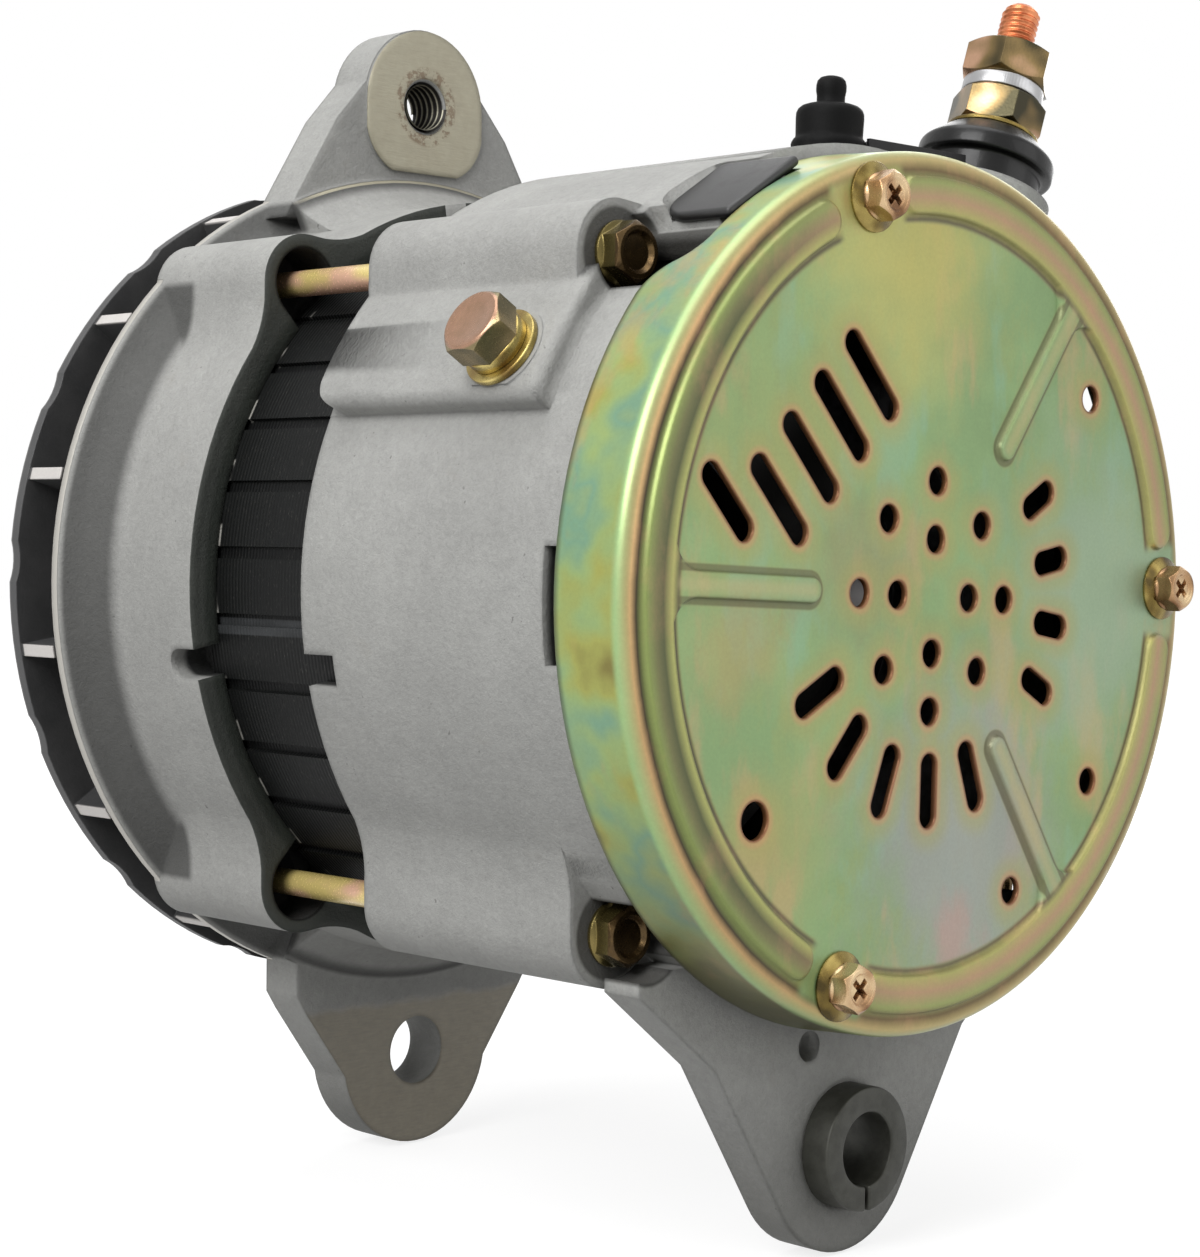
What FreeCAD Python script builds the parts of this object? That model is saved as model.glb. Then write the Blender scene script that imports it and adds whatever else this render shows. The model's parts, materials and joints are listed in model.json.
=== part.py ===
"""Car alternator: two cast casings round a laminated core, a pressed rear cover, a claw-pole rotor
on two ball bearings and an outside cooling fan.

Frame: the shaft lies along Y and the drive end points to +Y. The origin is on the shaft's axis, in
the plane of the fan's front face, where the pulley seats. +Z points from the shaft to the upper,
adjusting ear. Angles go round the shaft from +X towards +Z. Lengths are millimetres.
"""

import FreeCAD, Part
import math
import os
import re

import Sketcher
from FreeCAD import Placement, Rotation, Vector

# Every driving size: name, value, what it measures.
SIZES = [
    # Lengths along the shaft
    ("noseLength", 16.5, "front casing's front face to the pulley's seat"),
    ("frontDepth", 37.5, "front casing along the shaft"),
    ("coreGap", 32.2, "open gap between the casings, where the core shows"),
    ("rearDepth", 75.3, "rear casing along the shaft"),
    ("coverRise", 12.0, "rear casing's back rim to the cover's face"),
    # Casings
    ("frontRadius", 82.0, "front casing outside"),
    ("rearRadius", 80.0, "rear casing outside"),
    ("castWall", 4.2, "cast wall of both casings"),
    ("seatDepth", 3.5, "how far the core enters each casing"),
    ("seatLedge", 2.8, "ledge that each end of the core rests on"),
    ("coreFit", 0.1, "radial clearance of the core in the casings"),
    ("frontWall", 6.0, "front casing's end wall"),
    ("lipRadius", 89.5, "front casing's flange"),
    ("lipWidth", 2.0, "bright lip of that flange"),
    ("lipEdge", 1.0, "lip's sloping edge, radially"),
    ("lipSlope", 1.8, "hollow behind the lip, its length for its depth"),
    ("lipCurve", 2.1, "that hollow's radius for its depth"),
    ("lobeRadius", 10.0, "lobes round the through bolts"),
    ("lobeFlank", 48.0, "angle at which the lobes' flanks leave their round crest"),
    ("lobeRun", 4.0, "straight part of those flanks"),
    ("lobeSpread", 15.5, "angle from a bolt to the foot of its lobe's flank"),
    ("lobeBlend", 25.0, "hollow at the foot of the flanks, radius"),
    ("lobeStart", 18.0, "rear casing's back rim to the bolts' seats"),
    ("boltRing", 81.5, "through bolts from the shaft"),
    ("boltUpper", 131.5, "upper left bolt's angle"),
    ("boltLower", 228.5, "lower left bolt's angle"),
    ("boltRight", 311.5, "lower right bolt's angle"),
    ("boltAside", 33.0, "upper right bolt's angle, clear of the output terminal"),
    ("boltRadius", 2.65, "through bolt's rod"),
    ("boltFlange", 6.0, "flange under the bolt's head, radius"),
    ("boltFlats", 10.0, "bolt's head across flats"),
    ("boltHead", 5.5, "bolt's head with its flange"),
    ("flangeRim", 1.4, "flange under the head, thickness"),
    ("boltBlind", 8.0, "casting left beyond the bolts' blind holes"),
    ("boltShort", 10.0, "bolts' ends from the front flange"),
    ("boltClearance", 0.35, "radial clearance of the bolts' holes"),
    ("bossPocket", 7.3, "round pocket at the front lobes, radius"),
    ("headPocket", 8.0, "pocket round the bolts' heads, radius"),
    ("bossPocketDepth", 12.0, "depth of that pocket"),
    ("chamberDepth", 35.0, "electrics chamber, back rim to the bearing wall"),
    ("partitionWall", 5.0, "rear casing's bearing wall"),
    ("padRadius", 85.0, "raised pad over the top of the rear casing"),
    ("padStart", 50.0, "pad's right end, angle"),
    ("padStep", 112.0, "angle at which the pad begins to reach further back"),
    ("padTurn", 125.0, "angle at which the pad stops short for the bolt"),
    ("padEnd", 156.0, "pad's left end, angle"),
    ("padNear", 6.0, "pad from the back rim, over the top"),
    ("padLate", 15.0, "pad from the back rim, beside the bolt"),
    ("notchWidth", 6.2, "rim notches across"),
    ("notchDepth", 8.4, "rim notches along the shaft"),
    ("notchAngle", 191.0, "rim notches on the left, angle"),
    ("topNotchAngle", 99.5, "front casing's notch on top, angle"),
    ("ventAngle", 181.0, "vent in the chamber's back rim, angle"),
    ("ventWidth", 20.5, "vent across"),
    ("ventDepth", 9.2, "vent along the shaft"),
    ("windowCount", 8, "air windows in the front end wall"),
    ("windowInner", 42.0, "front windows, inner radius"),
    ("windowOuter", 68.0, "front windows, outer radius"),
    ("windowSpan", 32.0, "front windows, angle"),
    ("ductCount", 5, "air ducts in the bearing wall"),
    ("ductPitch", 60.0, "angle from duct to duct"),
    ("ductStart", -160.0, "first duct, angle"),
    ("ductInner", 33.0, "ducts, inner radius"),
    ("ductOuter", 52.0, "ducts, outer radius"),
    ("ductSpan", 38.0, "ducts, angle"),
    # Upper ear on the front casing
    ("earThickness", 11.0, "front ear and front lug along the shaft"),
    ("earHeight", 105.7, "ear's hole above the shaft"),
    ("earTopRadius", 17.0, "ear's round top"),
    ("earNeck", 24.7, "ear's half width lower down"),
    ("earNeckDrop", 5.1, "that width below the hole"),
    ("earFoot", 38.6, "ear's half width at the casing"),
    ("earFootSink", 4.0, "that foot inside the casing's outside"),
    ("earBore", 5.4, "threaded hole in the ear, radius"),
    ("earMouth", 6.45, "hole's chamfered mouth, radius"),
    ("earFace", 0.8, "machined boss round the hole, height"),
    ("earFaceInset", 0.3, "that boss inside the ear's round top"),
    ("earFaceDrop", 14.9, "boss's flat foot below the hole"),
    ("earFaceFoot", 9.4, "boss's flat foot, half width"),
    ("earFaceSide", 6.2, "boss's straight sides below the hole"),
    ("earFaceRound", 12.0, "boss's lower corners, radius"),
    ("gussetRise", 7.6, "gussets behind the ear and the lug, above the casing"),
    ("gussetCurve", 26.0, "their hollow, radius"),
    ("earGusset", 20.0, "gusset behind the ear, along the shaft"),
    ("earGussetSpan", 49.0, "that gusset's angle round the shaft"),
    ("lugGusset", 14.0, "gusset behind the front lug, along the shaft"),
    ("lugGussetSpan", 50.0, "that gusset's angle round the shaft"),
    ("earTangent", 13.5, "angle above level at which the ear's flanks meet its round top"),
    # Lower lugs
    ("pivotDrop", 105.9, "pivot's axis below the shaft"),
    ("lugRadius", 20.7, "lower lugs, round end"),
    ("lugBore", 7.6, "front lug's hole, radius"),
    ("lugWaist", 31.5, "front lug's half width above the round end"),
    ("lugWaistDrop", 94.1, "depth of that width below the shaft"),
    ("lugFoot", 34.0, "front lug's half width at the casing"),
    ("lugFootDrop", 90.1, "depth of that width below the shaft"),
    ("lugSide", 10.0, "angle below level at which the front lug's flanks meet its round end"),
    ("lugStart", 8.0, "rear casing's back rim to the rear lug's face"),
    ("lugThickness", 8.8, "rear lug along the shaft"),
    ("rearLugWaist", 36.5, "rear lug's half width where it flares"),
    ("rearLugWaistDrop", 87.0, "depth of that width below the shaft"),
    ("lugTangent", 31.0, "angle below level at which the rear lug's flanks meet its round end"),
    ("lugFootTurn", 250.0, "angle at which the rear lug's flank meets its lobe"),
    ("lugFootEnd", 165.0, "angle at which it leaves that lobe"),
    ("lugFootInner", 215.0, "angle round the shaft at which the foot enters the barrel"),
    ("castPocket", 3.0, "small cast pocket in the rear lug, radius"),
    ("castPocketAcross", -10.4, "that pocket, sideways"),
    ("castPocketDrop", 85.6, "that pocket below the shaft"),
    ("bushRadius", 12.0, "pivot bush outside"),
    ("bushBore", 7.1, "pivot bush inside"),
    ("bushProud", 6.2, "bush standing out behind its lug"),
    ("bushSlit", 1.0, "slit along the bush"),
    ("seatClearance", 0.05, "radial clearance of fitted pieces"),
    ("cutOver", 1.0, "how far a cut runs past the face it starts from or ends at"),
    # Rear cover
    ("coverRadius", 82.0, "cover's face, radius at the bend"),
    ("skirtRadius", 82.7, "cover's skirt at its edge"),
    ("skirtDepth", 15.5, "cover along the shaft"),
    ("sheet", 1.2, "cover's sheet metal"),
    ("bendRadius", 2.5, "bend from the face to the skirt"),
    ("patternTurn", -2.2, "turn of the cover's pattern round the shaft"),
    ("smallHole", 2.6, "cover's round holes, radius"),
    ("largeHole", 3.45, "cover's larger hole, radius"),
    ("innerRing", 10.64, "inner four holes from the shaft"),
    ("outerRing", 21.45, "outer four holes from the shaft"),
    ("diagonalRing", 19.55, "diagonal four holes from the shaft"),
    ("edgeRing", 62.2, "single holes from the shaft"),
    ("slotWidth", 4.7, "cover's slots across"),
    ("slantCount", 4, "slanting slots in the row"),
    ("slantLength", 20.0, "slanting slots, length"),
    ("slantPitch", 11.2, "slanting slots, from one to the next"),
    ("slantX", -20.2, "first slanting slot's middle, sideways"),
    ("slantZ", 39.3, "first slanting slot's middle, up"),
    ("slantAngle", -45.0, "slanting slots, direction"),
    ("loneX", -57.2, "last slanting slot's middle, sideways"),
    ("loneZ", 14.5, "last slanting slot's middle, up"),
    ("loneLength", 17.0, "last slanting slot, length"),
    ("sideCount", 4, "radial slots on the right"),
    ("sideRing", 37.0, "their middles from the shaft"),
    ("sideLength", 10.5, "their length"),
    ("sidePitch", 19.5, "angle from one to the next"),
    ("sideStart", 32.0, "the first one's angle"),
    ("lowerCount", 5, "radial slots below"),
    ("lowerRing", 36.2, "their middles from the shaft"),
    ("lowerLength", 14.0, "their length"),
    ("lowerPitch", 20.4, "angle from one to the next"),
    ("lowerStart", -150.2, "the first one's angle"),
    ("beadWidth", 7.6, "raised beads across"),
    ("beadHeight", 1.0, "raised beads, height"),
    ("beadTaper", 30.0, "slope of the beads' sides"),
    ("beadRing", 73.9, "bead's middle line from the shaft"),
    ("spokeWidth", 5.2, "spokes across"),
    ("spokeFlare", 6.0, "spokes' rounded joints to the rim's bead"),
    ("spokeInner", 32.5, "inner end of the spokes from the shaft"),
    ("reliefAngle", 121.5, "skirt's relief, middle"),
    ("reliefWidth", 29.0, "skirt's relief across"),
    ("reliefDepth", 8.0, "cover's face to the relief's edge"),
    ("reliefEnd", 27.0, "far end of the relief's rounded step, sideways"),
    ("reliefTurn", 19.6, "middle of that step, sideways"),
    ("reliefRise", 3.9, "height of that middle"),
    ("reliefStart", 13.0, "near end of that step, sideways"),
    ("reliefOuter", 12.0, "step's outer bend, radius"),
    ("reliefInner", 10.0, "step's inner bend, radius"),
    ("screwRing", 74.5, "cover screws from the shaft"),
    ("screwRadius", 2.4, "cover screw's shank"),
    ("screwReach", 14.0, "cover screw's length under its head"),
    ("screwFlats", 8.0, "cover screw's head across flats"),
    ("screwHead", 4.2, "cover screw's head, height"),
    ("crossWidth", 1.2, "cross recess across"),
    ("crossLength", 5.0, "cross recess, length"),
    ("crossDepth", 1.8, "cross recess, depth"),
    ("washerRadius", 6.5, "cover screw's washer"),
    ("washerHeight", 1.5, "cover screw's washer, thickness"),
    ("postRadius", 5.0, "posts that carry the cover"),
    # Stator
    ("coreRadius", 75.7, "core outside"),
    ("coreBore", 52.0, "core inside"),
    ("slotCount", 36, "winding slots"),
    ("slotDeep", 12.0, "winding slots, depth"),
    ("slotBroad", 4.0, "winding slots across"),
    ("coreGrooves", 36, "grooves on the core's outside"),
    ("coreGrooveStart", 15.0, "first of them, angle"),
    ("coreGrooveWidth", 2.4, "those grooves across"),
    ("coreGrooveDepth", 1.0, "those grooves, depth"),
    ("headInner", 54.0, "coil heads, inner radius"),
    ("headOuter", 69.5, "coil heads, outer radius"),
    ("headLength", 17.0, "coil heads along the shaft"),
    ("headChamfer", 4.0, "coil heads' sloping edges"),
    # Bearings
    ("frontRace", 23.5, "front bearing outside"),
    ("frontWidth", 14.0, "front bearing along the shaft"),
    ("rearRace", 20.0, "rear bearing outside"),
    ("rearWidth", 12.0, "rear bearing along the shaft"),
    ("raceWall", 4.6, "races' thickness"),
    ("ballCount", 8, "balls in each bearing"),
    ("grooveDepth", 1.5, "balls' grooves in the races, depth"),
    ("ballPlay", 0.12, "play between balls and races"),
    ("bearingLip", 2.0, "lips that stop the bearings"),
    ("hubPlay", 1.5, "casings' lips round the turning collar and shaft"),
    ("hubWall", 9.5, "cast hub round the front bearing"),
    ("rearHubWall", 6.0, "cast hub round the rear bearing"),
    ("hubBack", 5.0, "rear hub behind the bearing wall"),
    ("retainerThickness", 2.0, "bearing's retaining plate"),
    ("retainerInset", 0.6, "plate's hole inside the outer race's shoulder"),
    ("retainerEdge", 0.5, "plate's rim inside the hub's"),
    ("retainerTurn", 45.0, "first of the plate's screws, angle"),
    ("retainerCount", 4, "retaining plate's screws"),
    ("retainerRing", 28.2, "those screws from the shaft"),
    ("retainerScrew", 2.0, "those screws' shank, radius"),
    ("retainerHead", 3.8, "those screws' head, radius"),
    ("retainerHeadHeight", 2.0, "those screws' head, height"),
    ("retainerReach", 9.0, "those screws' length under the head"),
    # Rotor
    ("bearingShaft", 8.5, "shaft in the bearings"),
    ("coreShaft", 11.0, "shaft in the rotor"),
    ("pulleyShaft", 7.5, "shaft in the pulley"),
    ("pulleyStep", 0.5, "step behind the pulley's seat"),
    ("pulleySeat", 24.0, "pulley's seat along the shaft"),
    ("threadRadius", 7.0, "shaft's threaded end"),
    ("threadLength", 16.0, "shaft's threaded end, length"),
    ("threadChamfer", 1.2, "chamfer of the threaded end"),
    ("tailShaft", 5.0, "shaft under the slip rings"),
    ("tailLength", 28.0, "shaft behind the rear bearing"),
    ("splitGap", 1.6, "cut in a spring washer"),
    ("collarRadius", 13.0, "spacer between bearing and fan"),
    ("rotorRadius", 51.4, "rotor outside"),
    ("rotorHalf", 32.0, "half of the rotor's length"),
    ("clawPlate", 12.0, "claw pieces' end plates"),
    ("clawHub", 17.0, "claw pieces' hubs"),
    ("clawCore", 35.0, "claw pieces' round plates, radius"),
    ("clawCount", 6, "claws on each piece"),
    ("clawRoot", 17.0, "claw at its root, half angle"),
    ("clawTip", 8.0, "claw at its tip, half angle"),
    ("clawRootInner", 37.0, "claw at its root, inner radius"),
    ("clawTipInner", 45.5, "claw at its tip, inner radius"),
    ("clawShort", 1.0, "claw's tip inside the other plate's face"),
    ("coilOuter", 34.5, "field coil outside"),
    ("coilGap", 0.4, "play round the field coil"),
    ("ringRadius", 8.2, "slip rings outside"),
    ("ringWidth", 6.0, "slip rings along the shaft"),
    ("ringGap", 3.0, "between the slip rings"),
    ("ringWall", 1.2, "slip rings' thickness"),
    ("ringEdge", 2.5, "insulating sleeve beyond the rings"),
    ("ringStart", 5.5, "rear bearing's lip to the sleeve"),
    # Fan
    ("fanRadius", 89.0, "fan outside"),
    ("fanSheet", 2.5, "fan's disc and blades, thickness"),
    ("fanDepth", 14.0, "fan along the shaft"),
    ("bladeCount", 15, "fan's blades"),
    ("bladeStart", 45.4, "first blade's angle"),
    ("bladeInner", 44.0, "blades' inner end from the shaft"),
    ("bladeRamp", 62.0, "where the blades reach their full depth"),
    ("bladeLow", 5.0, "blades' depth at the inner end"),
    ("scallopRadius", 14.0, "shallow hollows between the blades"),
    ("scallopDepth", 0.8, "their depth"),
    # Electrics in the chamber
    ("holderAngle", 140.0, "brush holder's direction from the shaft"),
    ("holderWidth", 22.0, "brush holder across"),
    ("holderNose", 9.2, "brush holder's nose from the shaft"),
    ("holderStep", 27.0, "where the holder becomes its base"),
    ("holderEnd", 60.0, "holder's outer end from the shaft"),
    ("holderBack", 3.0, "holder in front of the back rim"),
    ("brushWidth", 7.0, "brushes across"),
    ("brushThickness", 5.0, "brushes along the shaft"),
    ("brushLength", 17.0, "brushes' length"),
    ("brushPlay", 0.15, "play round the brushes"),
    ("runningGap", 0.3, "gap between brushes and slip rings"),
    ("regulatorAngle", 215.0, "regulator's direction from the shaft"),
    ("regulatorInner", 30.0, "regulator's inner end from the shaft"),
    ("regulatorOuter", 64.0, "regulator's outer end from the shaft"),
    ("regulatorWidth", 40.0, "regulator across"),
    ("regulatorHeight", 18.0, "regulator along the shaft"),
    ("finCount", 6, "regulator's cooling fins"),
    ("finWidth", 2.0, "cooling fins across"),
    ("finHeight", 6.0, "cooling fins, height"),
    ("sinkStart", -82.0, "rectifier plates' first angle"),
    ("sinkEnd", 72.0, "rectifier plates' last angle"),
    ("sinkInner", 36.0, "rectifier plates' inner radius"),
    ("sinkOuter", 67.0, "rectifier plates' outer radius"),
    ("sinkThickness", 3.0, "rectifier plates' thickness"),
    ("plusHeight", 23.0, "bearing wall to the positive plate"),
    ("minusHeight", 5.0, "bearing wall to the negative plate"),
    ("diodeCount", 4, "diodes on each plate"),
    ("diodeRadius", 6.3, "diodes"),
    ("diodeHeight", 6.0, "diodes, height"),
    ("diodeRing", 51.0, "diodes from the shaft"),
    ("diodePitch", 38.0, "angle from diode to diode"),
    ("diodeStart", -62.0, "first diode's angle"),
    ("pillarRadius", 3.5, "rectifier's pillars"),
    ("pillarRing", 61.5, "rectifier's pillars from the shaft"),
    ("pillarTop", 2.0, "pillars beyond the positive plate"),
    ("postBlock", 13.0, "positive plate's block for the output stud"),
    ("postBlockDepth", 7.8, "that block along the stud"),
    ("postRim", 1.0, "that block beyond the stud's side"),
    # Output terminal
    ("outputAngle", 70.0, "output stud's direction"),
    ("outputX", 19.4, "point on the stud's line, sideways"),
    ("outputZ", -7.0, "point on the stud's line, up"),
    ("terminalStation", 19.0, "rear casing's back rim to the terminals"),
    ("studRadius", 4.0, "output stud"),
    ("studStart", 64.0, "output stud's inner end along its line"),
    ("studLength", 43.0, "output stud beyond the cast boss"),
    ("studChamfer", 1.0, "chamfer of its tip"),
    ("outputBoss", 15.0, "cast boss under the insulator, radius"),
    ("outputBossRise", 9.0, "cast boss's end along the line, beyond the pad"),
    ("outputBossRoot", 72.0, "that boss's root along the stud's line"),
    ("outputBore", 7.0, "hole through that boss, radius"),
    ("insulatorFoot", 12.0, "insulator's narrow base, radius"),
    ("insulatorRim", 14.2, "insulator's rim, radius"),
    ("insulatorNeck", 9.7, "insulator's top and flat washer, radius"),
    ("insulatorStep", 5.5, "insulator's base, height"),
    ("insulatorBand", 3.5, "insulator's rim, height"),
    ("insulatorCone", 4.2, "insulator's cone, height"),
    ("spigotRadius", 6.7, "insulator's spigot in the boss"),
    ("spigotLength", 16.0, "insulator's spigot, length"),
    ("outputWasher", 0.9, "output stud's flat washer, thickness"),
    ("outputNutFlats", 17.0, "output nuts across flats"),
    ("outputNutHeight", 7.9, "output nuts, height"),
    ("springRadius", 8.5, "output spring washer"),
    ("springThickness", 2.9, "output spring washer, thickness"),
    # Signal terminal and its base
    ("signalAngle", 87.0, "signal terminal's direction"),
    ("signalCollar", 7.4, "signal terminal's collar, radius"),
    ("signalCollarHeight", 2.9, "signal terminal's collar, height"),
    ("signalCap", 6.9, "signal terminal's rubber cap, radius"),
    ("signalCapHeight", 7.1, "signal terminal's rubber cap, height"),
    ("signalCapRound", 1.0, "cap's rounded edge"),
    ("signalPin", 2.0, "signal terminal's pin, radius"),
    ("signalPinHeight", 3.4, "pin above the cap's shoulder"),
    ("nippleRadius", 2.95, "cap's nipple over the pin, radius"),
    ("nippleHeight", 6.2, "cap's nipple, height"),
    ("baseRise", 2.8, "terminal base's flat top above the pad"),
    ("baseRoot", 12.0, "terminal base's underside below the pad's top"),
    ("baseLeft", 8.0, "terminal base's left side"),
    ("baseRight", 38.0, "terminal base's right side"),
    ("baseWidth", 15.0, "terminal base along the shaft"),
    ("padPlay", 0.1, "play between pad and terminal base"),
    # Ground bolt
    ("groundAngle", 149.5, "ground bolt's direction from the shaft"),
    ("groundStation", 26.5, "rear casing's back rim to the ground bolt"),
    ("groundRise", 0.2, "ground bolt's seat above the pad"),
    ("groundBoss", 8.6, "cast seat under the ground bolt, radius"),
    ("groundWasher", 7.7, "ground bolt's flat washer"),
    ("groundWasherHeight", 1.4, "flat washer, thickness"),
    ("groundSpring", 6.25, "ground bolt's spring washer"),
    ("groundSpringHeight", 2.6, "spring washer, thickness"),
    ("groundFlats", 12.0, "ground bolt's head across flats"),
    ("groundHead", 5.5, "ground bolt's head, height"),
    ("groundShank", 3.6, "ground bolt's shank, radius"),
    ("groundReach", 12.0, "ground bolt's shank in the casing"),
    # Rubber flap in the pad's recess
    ("flapAngle", 122.0, "flap's direction from the shaft"),
    ("flapSink", 1.7, "flap's top below the pad's outside"),
    ("flapThickness", 2.0, "flap's thickness"),
    ("flapLeft", -5.0, "flap's edge towards the bolt"),
    ("flapRight", 16.5, "flap's edge towards the pad's top"),
    ("flapStart", -3.6, "back rim to the flap's hidden end"),
    ("flapEnd", 15.2, "back rim to the flap's round end"),
    ("flapCorner", 8.0, "flap's large corner, radius"),
    ("flapRound", 2.0, "flap's small corner, radius"),
    ("flapPlay", 0.3, "play round the flap"),
]

NAMES = {name for name, value, note in SIZES}

# Stations along the shaft, from the drive end to the back.
FRONT = "(-noseLength)"
FRONT_RIM = "(-noseLength - frontDepth)"
REAR_RIM = "(-noseLength - frontDepth - coreGap)"
BACK_RIM = "(-noseLength - frontDepth - coreGap - rearDepth)"
COVER = f"({BACK_RIM} - coverRise)"
WALL_BACK = f"({BACK_RIM} + chamberDepth)"
WALL_FRONT = f"({WALL_BACK} + partitionWall)"
REAR_HUB = f"({WALL_BACK} - hubBack)"
REAR_BEARING = f"({REAR_HUB} + bearingLip)"
REAR_SHOULDER = f"({REAR_BEARING} + rearWidth)"
FRONT_BEARING = f"({FRONT} - bearingLip)"
FRONT_SHOULDER = f"({FRONT_BEARING} - frontWidth)"
CORE_BACK = f"({REAR_RIM} - seatDepth)"
CORE_FRONT = f"({FRONT_RIM} + seatDepth)"
MIDDLE = f"(({CORE_BACK} + {CORE_FRONT}) / 2)"
ROTOR_BACK = f"({MIDDLE} - rotorHalf)"
ROTOR_FRONT = f"({MIDDLE} + rotorHalf)"
TERMINALS = f"({BACK_RIM} + terminalStation)"
BOLT_SEAT = f"({BACK_RIM} + lobeStart)"
LUG_FACE = f"({BACK_RIM} + lugStart)"
EAR_BACK = f"({FRONT} - earThickness)"

# Places that follow from the sizes
LIP_HOLLOW = "(lipRadius - lipEdge - frontRadius)"
EAR_NECK = "(earHeight - earNeckDrop)"
EAR_FOOT = "(frontRadius - earFootSink)"
BOSS_END = "(padRadius + outputBossRise)"
STUD_END = f"({BOSS_END} + studLength)"
GROUND_SEAT = "(padRadius + groundRise)"
FLAP_TOP = "(padRadius - flapSink)"
FLAP_FLOOR = f"({FLAP_TOP} - flapThickness)"

BOLTS = ["boltUpper", "boltLower", "boltRight", "boltAside"]
COVER_SCREWS = ["107", "3", "(-108)"]
EDGE_HOLES = ["40.6", "(-34.6)", "(-64.2)"]
LARGE_EDGE_HOLE = "(-139.5)"
BEAD_ARCS = [("118", "242"), ("12", "98"), ("(-100)", "(-7)")]
SPOKES = ["179.8", "55.3", "(-54)"]
PILLARS = ["(-70)", "(-24)", "33"]

doc = FreeCAD.newDocument("Alternator")
sheet = doc.addObject("Spreadsheet::Sheet", "Sizes")


def fill_sheet():
    """Write every size into the sheet, one row each."""
    for row, (name, value, note) in enumerate(SIZES, start=1):
        sheet.set(f"A{row}", note)
        sheet.set(f"B{row}", str(value))
        sheet.setAlias(f"B{row}", name)
    doc.recompute()


def tie(formula):
    """A formula with each size named as a cell of the sheet."""
    return re.sub(r"[A-Za-z]\w*", lambda word: name_in_sheet(word.group()), formula)


def name_in_sheet(word):
    """The word itself, or the sheet's cell of that name."""
    return "Sizes." + word if word in NAMES else word


def value_of(formula):
    """The value of a formula over the sheet's sizes."""
    return float(sheet.evalExpression(formula))


def bind(thing, prop, formula):
    """Tie one property of an object to the sheet."""
    thing.setExpression(prop, tie(formula))


# Bodies and sketches

def new_body(name):
    """An empty body whose label names its file."""
    body = doc.addObject("PartDesign::Body", name)
    body.Label = name
    return body


def origin_of(body, role):
    """A body's own base plane or axis."""
    return next(part for part in body.Origin.OriginFeatures if part.Role == role)


def put(thing, prop, x, y, z, axis=None, angle="0"):
    """Tie a placement's position and its turn about one axis to the sheet."""
    turn = Rotation(axis or Vector(0, 0, 1), value_of(angle))
    setattr(thing, prop, Placement(Vector(value_of(x), value_of(y), value_of(z)), turn))
    bind(thing, prop + ".Base.x", x)
    bind(thing, prop + ".Base.y", y)
    bind(thing, prop + ".Base.z", z)
    if angle != "0":
        bind(thing, prop + ".Rotation.Angle", angle)


def new_sketch(body, role):
    """A sketch on one of the body's own base planes."""
    sketch = body.newObject("Sketcher::SketchObject", body.Label + "_sketch")
    sketch.AttachmentSupport = [(origin_of(body, role), "")]
    sketch.MapMode = "FlatFace"
    return sketch


def cross_sketch(body, station="0", x="0", z="0", angle="0"):
    """A sketch across the shaft: its axes are X and Z, turned by an angle round the shaft."""
    sketch = new_sketch(body, "XZ_Plane")
    put(sketch, "AttachmentOffset", x, z, f"-({station})", Vector(0, 0, 1), angle)
    return sketch


def side_sketch(body, angle="0"):
    """A sketch through the shaft's axis: across is the distance from it, up is along Y."""
    sketch = new_sketch(body, "XY_Plane")
    put(sketch, "AttachmentOffset", "0", "0", "0", Vector(0, 1, 0), f"-({angle})")
    return sketch


def facing_sketch(body, angle, distance, station="0", x="0", z="0"):
    """A sketch facing outwards at an angle round the shaft: across is tangential, up is along Y."""
    sketch = new_sketch(body, "XY_Plane")
    put(
        sketch,
        "AttachmentOffset",
        f"{x} + ({distance}) * cos({angle})",
        station,
        f"{z} + ({distance}) * sin({angle})",
        Vector(0, 1, 0),
        f"90 - ({angle})",
    )
    return sketch


def hold(sketch, kind, edge, vertex, formula):
    """One distance from the sketch's origin, tied to the sheet."""
    index = sketch.addConstraint(Sketcher.Constraint(kind, -1, 1, edge, vertex, value_of(formula)))
    bind(sketch, f"Constraints[{index}]", formula)


def hold_point(sketch, edge, vertex, x, y):
    """Both distances of a point from the sketch's origin."""
    hold(sketch, "DistanceX", edge, vertex, x)
    hold(sketch, "DistanceY", edge, vertex, y)


def hold_radius(sketch, edge, formula):
    """The radius of a circle or an arc."""
    index = sketch.addConstraint(Sketcher.Constraint("Radius", edge, value_of(formula)))
    bind(sketch, f"Constraints[{index}]", formula)


def draw_circle(sketch, x, y, radius):
    """A circle about a point."""
    centre = Vector(value_of(x), value_of(y), 0)
    edge = sketch.addGeometry(Part.Circle(centre, Vector(0, 0, 1), value_of(radius)))
    hold_point(sketch, edge, 3, x, y)
    hold_radius(sketch, edge, radius)


def arc_between(start, end, radius, side):
    """The short arc between two points; side 1 turns left on the way, -1 turns right."""
    chord = end - start
    middle = (start + end) * 0.5
    left = Vector(-chord.y, chord.x, 0).normalize()
    height = math.sqrt(radius ** 2 - (chord.Length / 2) ** 2)
    centre = middle + left * (height * side)
    first, last = (start, end) if side > 0 else (end, start)
    begin = math.atan2(first.y - centre.y, first.x - centre.x)
    finish = math.atan2(last.y - centre.y, last.x - centre.x)
    return Part.ArcOfCircle(Part.Circle(centre, Vector(0, 0, 1), radius), begin, finish)


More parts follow.
